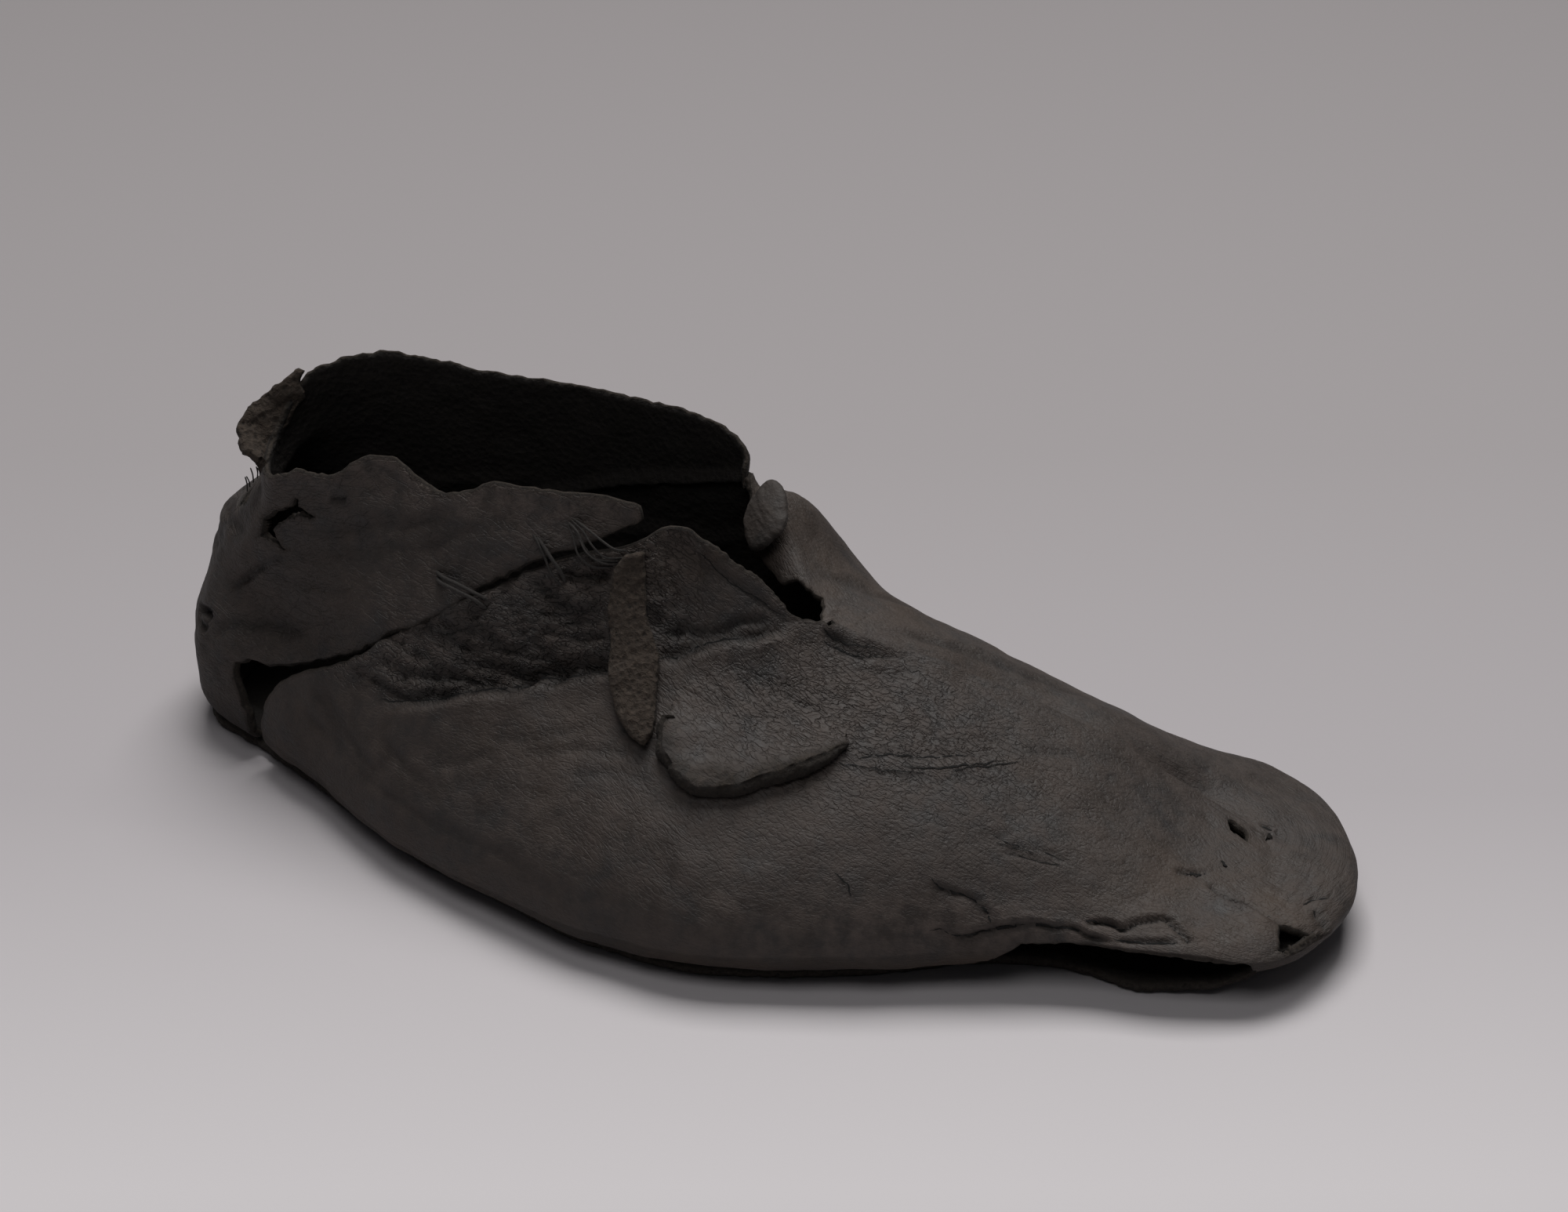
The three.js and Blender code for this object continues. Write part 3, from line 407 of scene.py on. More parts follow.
def skin(station, height):
    """Outer face of the upper: height 1 at the top line, 0 at the widest line, -1 at the sole seam."""
    station, height = np.broadcast_arrays(np.asarray(station, float), np.asarray(height, float))
    lines = [on_line(line, station) for line in LINES]
    mirrored = 2 * TIP - station
    shut = ((station >= BALL) & (mirrored >= BALL))[..., None]
    top = np.where(shut, (lines[3] + on_line(LINES[3], mirrored)) / 2, lines[3])
    wall = bezier(*lines[:3], top, height)
    edge, inward, turn, seam = sole_seam(station)
    low = edge.copy()
    low[..., 2] -= TURN_HANDLE * (edge - seam)[..., 2]
    under = bezier(edge, low, seam - TURN_HANDLE * inward * turn, seam, -height)
    margin = seam + inward * ((-1 - height) * MARGIN)[..., None]
    margin[..., 2] = tread(margin[..., 0]) + SOLE_WALL + CLEARANCE
    return np.where((height >= 0)[..., None], wall, np.where((height >= -1)[..., None], under, margin))


def outward(station, height):
    ahead = skin(station + SKIN_STEP, height) - skin(station - SKIN_STEP, height)
    rise = skin(station, height + SKIN_STEP) - skin(station, height - SKIN_STEP)
    return unit(np.cross(ahead, rise))


def seam_station(seam, side, height, towards):
    up = np.maximum(height, 0)
    station = np.interp(up, seam[:, 0], seam[:, 1])
    spacing = np.linalg.norm(skin(side * station + 0.5, up) - skin(side * station - 0.5, up), axis=-1)
    return station + towards * SEAM_GAPE * np.interp(up, seam[:, 0], seam[:, 2]) / spacing / 2


def torn(station, height):
    point = skin(station, height)
    across = (station - LOBE["station"]) / LOBE["spread"]
    rise = height - LOBE["height"]
    up = rise / np.where(rise < 0, LOBE["low"], LOBE["high"])
    point[..., 0] -= HEEL_FLARE * np.exp(-across * across - up * up)
    return point


def laid(table):
    """The table's creases with their paths laid on the skin, and the way out from it."""
    rows = []
    for depth, width, step, path in table:
        share = np.linspace(0, len(path) - 1, 6 * len(path))
        station, height = on_line(np.array(path), share, False).T
        rows.append((depth, width, step, torn(station, height), outward(station, height)))
    return rows


def creased(points, rows):
    """Rise in mm that the creases give each point, and how deep in a crease it lies from 0 to 1."""
    rise, depth_of = np.zeros(len(points)), np.zeros(len(points))
    for depth, width, step, line, away in rows:
        reach = 6 * width
        near = np.all((points > line.min(0) - reach) & (points < line.max(0) + reach), axis=1)
        place = points[near]
        if not len(place):
            continue
        drift = np.stack([noise(place / 3.1, seed) for seed in (91, 92, 93)], -1)
        place = place + 0.55 * drift
        best = np.full(len(place), 1e9)
        side, along = np.zeros(len(place)), np.zeros(len(place))
        for i, (a, b) in enumerate(zip(line[:-1], line[1:])):
            run = b - a
            t = np.clip((place - a) @ run / (run @ run + 1e-9), 0, 1)
            gap = place - a - t[:, None] * run
            apart = np.linalg.norm(gap, axis=1)
            closer = apart < best
            best = np.where(closer, apart, best)
            side = np.where(closer, np.sign(np.cross(run, gap) @ away[i]), side)
            along = np.where(closer, (i + t) / (len(line) - 1), along)
        fade = smooth(along, 0, 0.22) * smooth(-along, -1, -0.75)
        wave = 1 + 0.35 * noise(place / 3.5, 11)
        trough = 0.75 * np.exp(-((best / width) ** 2)) + 0.25 * np.exp(-((best / (2.4 * width)) ** 2))
        lip = np.exp(-(((best - 2.1 * width) / width) ** 2))
        shelf = np.tanh(side * best / width) * np.exp(-((best / (5 * width)) ** 2))
        rise[near] += fade * (depth * wave * (0.2 * lip - trough) + step * shelf)
        depth_of[near] = np.maximum(depth_of[near], fade * trough * min(1, depth / 0.8))
    return rise, depth_of


def inside(places, outline):
    """Which places lie inside the outline."""
    within = np.zeros(len(places), bool)
    x, y = places.T
    for (x0, y0), (x1, y1) in zip(outline, outline[1:] + outline[:1]):
        crosses = (y0 > y) != (y1 > y)
        within ^= crosses & (x < (x1 - x0) * (y - y0) / (y1 - y0 + 1e-12) + x0)
    return within


def snapped(places, outline, scale, reach):
    """Places near the outline, moved on to it. Scale turns station and height into mm."""
    moved = places.copy()
    best = np.full(len(places), reach)
    for start, end in zip(outline, outline[1:] + outline[:1]):
        a, b = np.array(start) * scale, np.array(end) * scale
        run = b - a
        t = np.clip((places * scale - a) @ run / (run @ run), 0, 1)
        spot = a + t[:, None] * run
        apart = np.linalg.norm(places * scale - spot, axis=1)
        closer = apart < best
        moved[closer] = (spot / scale)[closer]
        best = np.where(closer, apart, best)
    return moved


def grid_faces(index):
    """Quads between the neighbouring rows and columns of the indices."""
    corners = [index[:-1, :-1], index[1:, :-1], index[1:, 1:], index[:-1, 1:]]
    return np.stack(corners, -1).reshape(-1, 4)


def ring_faces(index):
    """Quads round the rings of indices, and a cap at each end."""
    beside = np.roll(index, -1, axis=1)
    quads = np.stack([index[:-1], beside[:-1], beside[1:], index[1:]], -1).reshape(-1, 4)
    return quads.tolist() + [index[0][::-1].tolist(), index[-1].tolist()]


def joined(points, quads):
    """Which points are kept where several lie in one spot, and the faces between those."""
    _, first, same = np.unique(np.round(points, 3), axis=0, return_index=True, return_inverse=True)
    faces = [list(dict.fromkeys(quad.tolist())) for quad in same.reshape(-1)[quads]]
    return first, [corners for corners in faces if len(corners) > 2]


def channels(points, first=0, second=0, third=0, fourth=0):
    """Four values for each point."""
    return np.stack([np.zeros(len(points)) + value for value in (first, second, third, fourth)], -1)


def dented(station, height, dents):
    """How deep in mm the dents lie at the places."""
    deep = np.zeros(len(station))
    for at, up, reach, tall, most in dents:
        deep += most * patch(station, height, at, reach, up, tall)
    return deep


class Sheet:
    """A face of the upper as a grid of stations and heights, with its holes."""

    def __init__(self, stations, heights, surface, holes, hole_scale):
        rows, columns = stations.shape
        places = np.stack([stations.ravel(), heights.ravel()], -1)
        for outline in holes:
            places = snapped(places, outline, hole_scale, 0.55)
        index = np.arange(rows * columns).reshape(rows, columns)
        quads = grid_faces(index)
        for outline in holes:
            quads = quads[~inside(places[quads].mean(1), outline)]
        points = surface(places[:, 0], places[:, 1])
        first, self.faces = joined(points, quads)
        self.places, self.points = places[first], points[first]
        used = np.unique(np.concatenate([np.array(f) for f in self.faces]))
        renumber = np.full(len(self.points), -1)
        renumber[used] = np.arange(len(used))
        self.faces = [[int(renumber[i]) for i in face] for face in self.faces]
        self.places, self.points = self.places[used], self.points[used]
        self.normals = vertex_normals(self.points, self.faces)


def gathered(index, values, count):
    """Sum of the values at each index."""
    return np.stack([np.bincount(index, weights=column, minlength=count) for column in values.T], -1)


def triangles(faces):
    return np.array([(f[0], f[i], f[i + 1]) for f in faces for i in range(1, len(f) - 1)])


def vertex_normals(points, faces):
    tris = triangles(faces)
    a, b, c = points[tris[:, 0]], points[tris[:, 1]], points[tris[:, 2]]
    cross = np.cross(b - a, c - a)
    total = np.zeros_like(points)
    for k in range(3):
        total += gathered(tris[:, k], cross, len(points))
    return unit(total)


def smoothed(values, faces, turns):
    """The values averaged with their neighbours along the faces' edges."""
    pairs = np.array([(a, b) for f in faces for a, b in zip(f, f[1:] + f[:1])])
    count = np.bincount(pairs.ravel(), minlength=len(values))[:, None]
    for _ in range(turns):
        total = gathered(pairs[:, 0], values[pairs[:, 1]], len(values))
        total += gathered(pairs[:, 1], values[pairs[:, 0]], len(values))
        values = total / np.maximum(count, 1)
    return values


def walled(points, faces, normals, wall, marks, zones, ragged, flesh, rings=2):
    """Closed shell of the face: its rim rounded and ragged, its inner side marked as flesh. Its inner side
    and rim are darkened as painted shade.
    """
    count = len(points)
    edges = {(a, b) for f in faces for a, b in zip(f, f[1:] + f[:1])}
    rim = [(a, b) for a, b in edges if (b, a) not in edges]
    rim.sort()
    out = np.zeros_like(points)
    for a, b in rim:
        away = np.cross(points[b] - points[a], normals[a] + normals[b])
        out[a] += away
        out[b] += away
    out = unit(out)
    border = sorted({i for edge in rim for i in edge})
    number = {v: i for i, v in enumerate(border)}
    spots = points[border]
    jag = ragged * cloudy(spots / 1.6, 31, 2)
    points = points.copy()
    points[border] += out[border] * jag[:, None] - normals[border] * 0.25
    depth = np.broadcast_to(wall, (count,))[:, None]
    below = points - normals * depth
    below[border] += normals[border] * 0.35
    layers = [points, below]
    for ring in range(1, rings + 1):
        share = ring / (rings + 1)
        bulge = 0.22 * depth[border, 0] * math.sin(math.pi * share)
        bulge = bulge + 0.3 * ragged * cloudy(spots / 0.9 + 7 * share, 37, 2)
        layers.append(points[border] * (1 - share) + below[border] * share + out[border] * bulge[:, None])
    everything = np.concatenate(layers)
    all_faces = list(faces) + [[i + count for i in face[::-1]] for face in faces]
    base = [2 * count + k * len(border) for k in range(rings)]
    for a, b in rim:
        upper = (b, a)
        for start in base:
            lower = (start + number[b], start + number[a])
            all_faces.append([upper[0], upper[1], lower[1], lower[0]])
            upper = lower
        all_faces.append([upper[0], upper[1], a + count, b + count])
    # painted shade: the fourth channel darkens the inner side fully and the rim partly, and the inner side
    # keeps 0.3 of the crease shade
    marks_in = marks * [0.3, 0, 0, 0] + [0, flesh, 0, 1]
    marks_rim = marks[border] * [0.3, 0, 0, 0] + [0, 1, 0, 0.4]
    marks = marks.copy()
    marks[border, 1] = np.maximum(marks[border, 1], 0.55)
    zones_all = np.concatenate([zones, zones * 0] + [zones[border] * 0] * rings)
    return everything, all_faces, np.concatenate([marks, marks_in] + [marks_rim] * rings), zones_all


def make(name, points, faces, material, replaced=None, marks=None, zones=None, flat=None):
    """A mesh piece from points in mm."""
    mesh = bpy.data.meshes.new(name)
    mesh.from_pydata(((points - HEEL_SPOT) * MM).tolist(), [], faces)
    mesh.shade_smooth()
    count = len(points)
    for key, values in (("marks", marks), ("zones", zones)):
        layer = mesh.attributes.new(key, "FLOAT_COLOR", "POINT")
        values = np.zeros((count, 4)) if values is None else values
        layer.data.foreach_set("color", np.ascontiguousarray(values, dtype=np.float32).ravel())
    layer = mesh.attributes.new("flat", "FLOAT_VECTOR", "POINT")
    flat = points if flat is None else flat
    layer.data.foreach_set("vector", np.ascontiguousarray(flat, dtype=np.float32).ravel())
    mesh.materials.append(material)
    piece = bpy.data.objects.new(name, mesh)
    bpy.context.collection.objects.link(piece)
    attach(piece, "root")
    if replaced:
        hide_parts(replaced)
    return piece


class Tree:
    """A material and its nodes."""

    def __init__(self, name):
        self.material = bpy.data.materials.new(name)
        self.material.use_nodes = True
        self.nodes = self.material.node_tree.nodes
        self.links = self.material.node_tree.links
        self.nodes.clear()

    def add(self, kind, inputs=None, **settings):
        node = self.nodes.new("ShaderNode" + kind)
        for key, value in settings.items():
            setattr(node, key, value)
        for key, value in (inputs or {}).items():
            if isinstance(value, bpy.types.NodeSocket):
                self.links.new(value, node.inputs[key])
            else:
                node.inputs[key].default_value = value
        return node

    def attribute(self, name):
        return self.add("Attribute", attribute_name=name, attribute_type="GEOMETRY")

    def split(self, colour):
        return self.add("SeparateColor", {"Color": colour}).outputs

    def math(self, operation, a, b=0.0, clamp=False):
        node = self.add("Math", {0: a, 1: b}, operation=operation)
        node.use_clamp = clamp
        return node.outputs[0]

    def times(self, a, b):
        return self.math("MULTIPLY", a, b)

    def plus(self, a, b, clamp=False):
        return self.math("ADD", a, b, clamp)

    def remap(self, value, low, high, to_low=0.0, to_high=1.0):
        inputs = {"Value": value, "From Min": low, "From Max": high, "To Min": to_low, "To Max": to_high}
        return self.add("MapRange", inputs, clamp=True).outputs[0]

    def mix(self, share, a, b, blend="MIX"):
        node = self.add("Mix", data_type="RGBA", blend_type=blend)
        for socket, value in ((node.inputs[0], share), (node.inputs[6], a), (node.inputs[7], b)):
            if isinstance(value, bpy.types.NodeSocket):
                self.links.new(value, socket)
            else:
                socket.default_value = value
        return node.outputs[2]

    def noise(self, vector, scale, detail=3.0, rough=0.55, warp=0.0):
        inputs = {"Vector": vector, "Scale": scale, "Detail": detail, "Roughness": rough, "Distortion": warp}
        return self.add("TexNoise", inputs).outputs[0]

    def valleys(self, vector, scale, width, detail=2.0, warp=0.4):
        """0 along thin winding lines and 1 between them."""
        value = self.noise(vector, scale, detail, 0.5, warp)
        apart = self.math("ABSOLUTE", self.math("SUBTRACT", value, 0.5))
        return self.remap(apart, 0.0, width)

    def stretched(self, vector, turn, size):
        inputs = {"Vector": vector, "Rotation": (0, 0, math.radians(turn)), "Scale": size}
        return self.add("Mapping", inputs, vector_type="TEXTURE").outputs[0]


def colour(red, green, blue):
    return (red, green, blue, 1.0)


def dimmed(shade, factor):
    return colour(*[factor * part for part in shade[:3]])


def leather(name, dark, warm, flesh, rough, pits):
    """Old dry leather: grain side with wrinkles and wear, flesh side and torn edges like suede. Painted
    shade darkens the creases, the fine wrinkle lines, the suede's pits and the inside; painted highlights
    come in through the wear channel besides even dust.
    """
    tree = Tree(name)
    place = tree.add("TexCoord").outputs["Object"]
    marks = tree.attribute("marks")
    crease, fibre, wear = tree.split(marks.outputs["Color"])
    within = marks.outputs["Alpha"]
    zones = tree.attribute("zones")
    lined, netted, browned = tree.split(zones.outputs["Color"])
    flat = tree.attribute("flat").outputs["Vector"]

    cloud = tree.noise(place, 55.0, 4.0)
    patch = tree.noise(place, 90.0, 3.0, 0.5, 0.6)
    blotch = tree.noise(place, 260.0, 5.0, 0.65)
    speckle = tree.noise(place, 1300.0, 3.0, 0.6)
    grain = tree.add("TexVoronoi", {"Vector": place, "Scale": 1500.0}).outputs["Distance"]
    fine = tree.noise(place, 2600.0, 3.0, 0.7)
    long_lines = tree.valleys(tree.stretched(flat, 9.0, (6.0, 2.0, 1.0)), 1.0, 0.05)
    cross_lines = tree.valleys(tree.stretched(flat, -38.0, (4.5, 1.9, 1.0)), 1.0, 0.05)
    fine_lines = tree.valleys(tree.stretched(flat, 4.0, (2.2, 1.1, 1.0)), 1.0, 0.07)
    crackle = tree.valleys(place, 620.0, 0.06)
    tuft = tree.noise(place, 900.0, 4.0, 0.75, 0.5)
    pit = tree.add("TexVoronoi", {"Vector": place, "Scale": 800.0, "Randomness": 1.0}).outputs["Distance"]

    cool = colour(0.88 * dark[0], 1.02 * dark[1], 1.14 * dark[2])
    body = tree.mix(tree.remap(patch, 0.42, 0.6), dark, cool)
    body = tree.mix(tree.remap(blotch, 0.35, 0.75), body, dimmed(dark, 1.45))
    browner = tree.times(tree.remap(cloud, 0.35, 0.7), browned)
    body = tree.mix(browner, body, warm)
    # the wear channel holds even dust and, along the outer toe's widest line and the outer quarter's top
    # rim, painted highlights; both make the leather paler
    dust_and_painted_highlight = tree.times(wear, tree.remap(blotch, 0.4, 0.7))
    body = tree.mix(dust_and_painted_highlight, body, dimmed(dark, 4.0))
    spots = tree.remap(speckle, 0.7, 0.78, 0.0, 0.55)
    body = tree.mix(spots, body, colour(0.11, 0.1, 0.09))
    suede = tree.mix(tree.remap(tuft, 0.3, 0.7), dimmed(flesh, 0.45), flesh)
    # painted shade: the suede is darkened in the bottoms of its pits
    painted_pit_shade = tree.times(tree.remap(pit, 0.12, 0.34, 1.0, 0.0), tree.remap(tuft, 0.35, 0.6, 0.2, 0.9))
    suede = tree.mix(painted_pit_shade, suede, dimmed(flesh, 0.12))
    body = tree.mix(fibre, body, suede)
    # painted shade: darker in the creases, along the fine wrinkle lines and on the inside, mixed towards
    # near black
    painted_line_shade = tree.times(tree.remap(fine_lines, 0.0, 0.7, 0.3, 0.0), netted)
    shade = tree.plus(tree.times(crease, 0.7), painted_line_shade, True)
    shade = tree.math("MAXIMUM", shade, tree.times(within, INSIDE_PAINTED_SHADE))
    body = tree.mix(shade, body, colour(*NEAR_BLACK))

    height = tree.times(grain, 0.05)
    height = tree.plus(height, tree.times(fine, 0.05))
    height = tree.plus(height, tree.times(blotch, 0.25))
    lines = tree.plus(tree.times(long_lines, 0.16), tree.times(cross_lines, 0.12))
    lines = tree.plus(lines, tree.times(crackle, 0.05))
    height = tree.plus(height, tree.times(lines, lined))
    net = tree.times(tree.times(fine_lines, netted), 0.3)
    height = tree.plus(height, net)
    fuzz = tree.times(tree.plus(tuft, tree.times(pit, 0.8)), fibre)
    height = tree.plus(height, tree.times(fuzz, pits))
    bump = tree.add("Bump", {"Height": height, "Distance": MM, "Strength": 1.0})

    roughness = tree.remap(blotch, 0.3, 0.75, rough - 0.08, rough + 0.12)
    roughness = tree.plus(roughness, tree.times(fibre, 0.3), True)
    shader = tree.add("BsdfPrincipled", {
        "Base Color": body, "Roughness": roughness, "Normal": bump.outputs[0], "Specular IOR Level": 0.35,
    })
    tree.add("OutputMaterial", {"Surface": shader.outputs[0]})
    return tree.material


def plain(name, shade, rough, scale, depth):
    """Thread or fibre with fine uneven colour and a fine bump."""
    tree = Tree(name)
    place = tree.add("TexCoord").outputs["Object"]
    mottle = tree.noise(place, scale, 4.0, 0.6)
    body = tree.mix(tree.remap(mottle, 0.3, 0.7), shade, dimmed(shade, 0.4))
    bump = tree.add("Bump", {"Height": mottle, "Distance": depth * MM, "Strength": 1.0})
    shader = tree.add("BsdfPrincipled", {"Base Color": body, "Roughness": rough, "Normal": bump.outputs[0]})
    tree.add("OutputMaterial", {"Surface": shader.outputs[0]})
    return tree.material


UPPER = leather("upper_leather", colour(0.03, 0.0238, 0.0208), colour(0.052, 0.035, 0.024),
                colour(0.05, 0.039, 0.03), 0.62, 0.5)
SOLE = leather("sole_leather", colour(0.03, 0.024, 0.019), colour(0.045, 0.033, 0.024),
               colour(0.05, 0.042, 0.035), 0.75, 0.5)
ROUGH = leather("rough_leather", colour(0.035, 0.028, 0.024), colour(0.055, 0.042, 0.032),
                colour(0.058, 0.044, 0.034), 0.8, 0.9)
THREAD = plain("thread_fibre", colour(0.035, 0.031, 0.028), 0.85, 3000.0, 0.15)
# near-black colour for strips that paint the shade inside the cracks
PAINTED_CRACK_SHADE = plain("crack_shade", colour(0.002, 0.0018, 0.0017), 0.95, 2000.0, 0.05)

# Camera at the photo's angle: degrees, distance in mm, focal length in pixels of the photo's width
AZIMUTH, ELEVATION, DISTANCE = 23.0, 31.0, 900.0
FOCAL, PHOTO_WIDTH, SENSOR = 6120.0, 2000.0, 36.0
turn_z, rise_z = math.radians(AZIMUTH), math.radians(ELEVATION)
level_of = np.array([-math.sin(turn_z), math.cos(turn_z), 0.0])
ahead_of = level_of * math.cos(rise_z) - np.array([0.0, 0.0, math.sin(rise_z)])
right_of = np.array([math.cos(turn_z), math.sin(turn_z), 0.0])
up_of = np.cross(right_of, ahead_of)
AIM = np.array([120.0, 10.0, 0.0]) - HEEL_SPOT
SHIFT_RIGHT, SHIFT_UP = -1.47, 34.85
spot = AIM - DISTANCE * ahead_of + SHIFT_RIGHT * right_of + SHIFT_UP * up_of
camera_data = bpy.data.cameras.new("camera")
camera_data.sensor_width = SENSOR
camera_data.lens = FOCAL / PHOTO_WIDTH * SENSOR
camera_data.clip_start = 0.01
camera_data.clip_end = 20.0
camera = bpy.data.objects.new("camera", camera_data)
bpy.context.collection.objects.link(camera)
camera.matrix_world = Matrix.Translation(Vector(spot * MM)) @ Matrix(
    (Vector(right_of), Vector(up_of), Vector(-ahead_of))
).transposed().to_4x4()
bpy.context.scene.camera = camera


# Creases laid on the skin, and the length of its ribs
VAMP_ROWS = laid(VAMP_CREASES)
RIB_PLACES = np.linspace(0, 2 * TIP, 97)
RIBS = skin(RIB_PLACES[:, None], np.linspace(0, 1, 13)[None])
RIB_LENGTHS = np.linalg.norm(np.diff(RIBS, axis=1), axis=-1).sum(1)

# Forepart
FORE_STEPS, TOE_STEPS, WALL_ROWS, TURN_ROWS, MARGIN_ROWS = 100, 125, 78, 11, 3


def heights_of(wall_rows):
    """Heights of a face's rows: wall, turned-in curve and margin."""
    turn = np.linspace(0, -1, TURN_ROWS + 1)[1:]
    return np.concatenate([np.linspace(1, 0, wall_rows), turn, np.linspace(-1, -2, MARGIN_ROWS + 1)[1:]])


def forepart():
    side = FORE_STEPS + TOE_STEPS
    column = np.arange(2 * side + 1)
    outer = column <= side
    step = np.where(outer, column, 2 * side - column)
    stations, levels = [], []
    for height in heights_of(WALL_ROWS):
        flat = np.full(len(column), height)
        start = np.where(outer, seam_station(OUTER_SEAM, 1, flat, 1), seam_station(INNER_SEAM, -1, flat, 1))
        fore = start + (BALL - start) * step / FORE_STEPS
        toe = BALL + (TIP - BALL) * (step - FORE_STEPS) / TOE_STEPS
        station = np.where(step <= FORE_STEPS, fore, toe)
        left = np.where(outer, np.interp(station, *OUTER_THROAT.T), np.interp(station, *INNER_THROAT.T))
        level = height * (left if height > 0 else np.ones_like(left))
        levels.append(np.where(outer, np.maximum(level, np.interp(station, *TOE_MOUTH.T)), level))
        stations.append(np.where(outer, station, 2 * TIP - station))
    face = Sheet(np.array(stations), np.array(levels), skin, TOE_TEARS, (20.0, 40.0))
    points = face.points
    ridge = smooth(face.places[:, 1], 0.8, 1) * (np.abs(face.places[:, 0] - TIP) < TIP - BALL)
    eased = smoothed(points, face.faces, 14)
    points = points + (eased - points) * ridge[:, None]
    normals = unit(smoothed(vertex_normals(points, face.faces), face.faces, 2))
    station, height = face.places.T
    rise, marks, zones = fore_relief(station, height, points)
    keep = smooth(height, -1.0, -0.4)
    points = points + normals * (rise * keep)[:, None]
    marks[:, 0] *= keep
    wall = FACE_WALL - 0.5 * smooth(height, 0.7, 1) * (np.abs(station - TIP) > TIP - BALL)
    flat = laid_flat(station, height, points)
    return face, points, normals, wall, marks, zones, flat


def fore_relief(station, height, points):
    """Rise in mm, marks and zones of the forepart's face at its places."""
    rise, depth = creased(points, VAMP_ROWS)
    above = above_crease(station, height)
    flat = laid_flat(station, height, points)
    drift = drifted(flat, points, 1.6, 76)
    rise += 0.5 * cloudy(points / 14, 3) + 0.1 * cloudy(points / 4.5, 5)
    field = 0.85 * folds(turned(drift, 14, 9.5, 2.3), 81) + 0.5 * folds(turned(drift, -34, 7.5, 2.4), 83)
    rise += above * (field - 0.9)
    rise -= dented(station, height, DENTS)
    net = 0.22 * folds(turned(drift, 6, 8, 2.8), 85) + 0.16 * folds(turned(drift, -48, 7, 2.6), 87)
    strength = 0.35 + 0.65 * cloudy(points / 22, 88, 2)
    rise += np.clip(strength, 0.1, 1) * (1 - above) * (net - 0.25) * (np.abs(station - TIP) < TIP - 2)
    # painted shade: darkened in the creases and in the valleys of the wrinkled field
    dark = np.clip(depth + above * np.clip(0.5 - field, 0, 0.5), 0, 1)
    # painted highlight: a paler band along the outer side's widest line from the ball to the toe, on top of
    # even dust
    wide = 1 - smooth(np.abs(height - 0.12), 0, 0.2)
    wear = np.clip(0.5 * wide * smooth(station, 6.5, 8.2) * smooth(-station, -10.6, -9) + 0.15, 0, 1)
    middle = patch(station, height, 7.3, 1.4, 0.75, 0.22)
    lined = 0.22 + 0.5 * above + 0.35 * middle
    netted = np.clip(above + 0.15 + 0.5 * middle, 0, 1)
    zones = channels(points, lined, netted, brownness(station, height))
    return rise, channels(points, dark, 0, wear), zones


def above_crease(station, height):
    """1 in the wrinkled field between the seam and the ankle crease, fading out below."""
    line = np.interp(station, [3.0, 3.84, 4.58, 5.3, 6.0, 6.7], [0.36, 0.42, 0.54, 0.66, 0.76, 0.9])
    along = smooth(station, 2.4, 3.2) * smooth(-station, -5.9, -5.0)
    return smooth(height, line - 0.02, line + 0.04) * along


def patch(station, height, at, reach, up, tall):
    """1 in the middle of a soft patch, fading out around it."""
    return np.exp(-(((station - at) / reach) ** 2) - ((height - up) / tall) ** 2)


def brownness(station, height):
    wing = patch(station, height, 5.8, 0.6, 0.86, 0.12)
    instep = patch(station, height, 17.3, 1.2, 0.85, 0.25)
    toe = patch(station, height, 10.8, 1.2, 0.5, 0.3)
    side = patch(station, height, 5.0, 0.8, 0.38, 0.12)
    low = 0.8 * smooth(-height, -0.1, 0.3)
    return np.clip(0.2 + wing + instep + 0.9 * toe + 0.5 * side + low, 0, 1)


FLAT_SLANT = 0.35  # how far the grain's length follows the width


def laid_flat(station, height, points):
    """Coordinates in mm along and round the surface, for wrinkles that run with it."""
    around = np.mod(station, 2 * TIP)
    long = np.interp(around, RIB_PLACES, RIB_LENGTHS)
    return np.stack([points[:, 0] + FLAT_SLANT * points[:, 1], long * (1 - height), 0 * station], -1)


def shell_of(name, replaced, parts, ragged, flesh, material):
    face, points, normals, wall, marks, zones, flat = parts
    everything, faces, all_marks, all_zones = walled(
        points, face.faces, normals, wall, marks, zones, ragged, flesh
    )
    spread = everything.copy()
    spread[: len(flat)] = flat
    make(name, everything, faces, material, replaced, all_marks, all_zones, spread)


shell_of("upper_forepart", "vamp", forepart(), 0.35, 0.7, UPPER)

# Back quarter
QUARTER_STEPS, QUARTER_WALL_ROWS = 250, 84


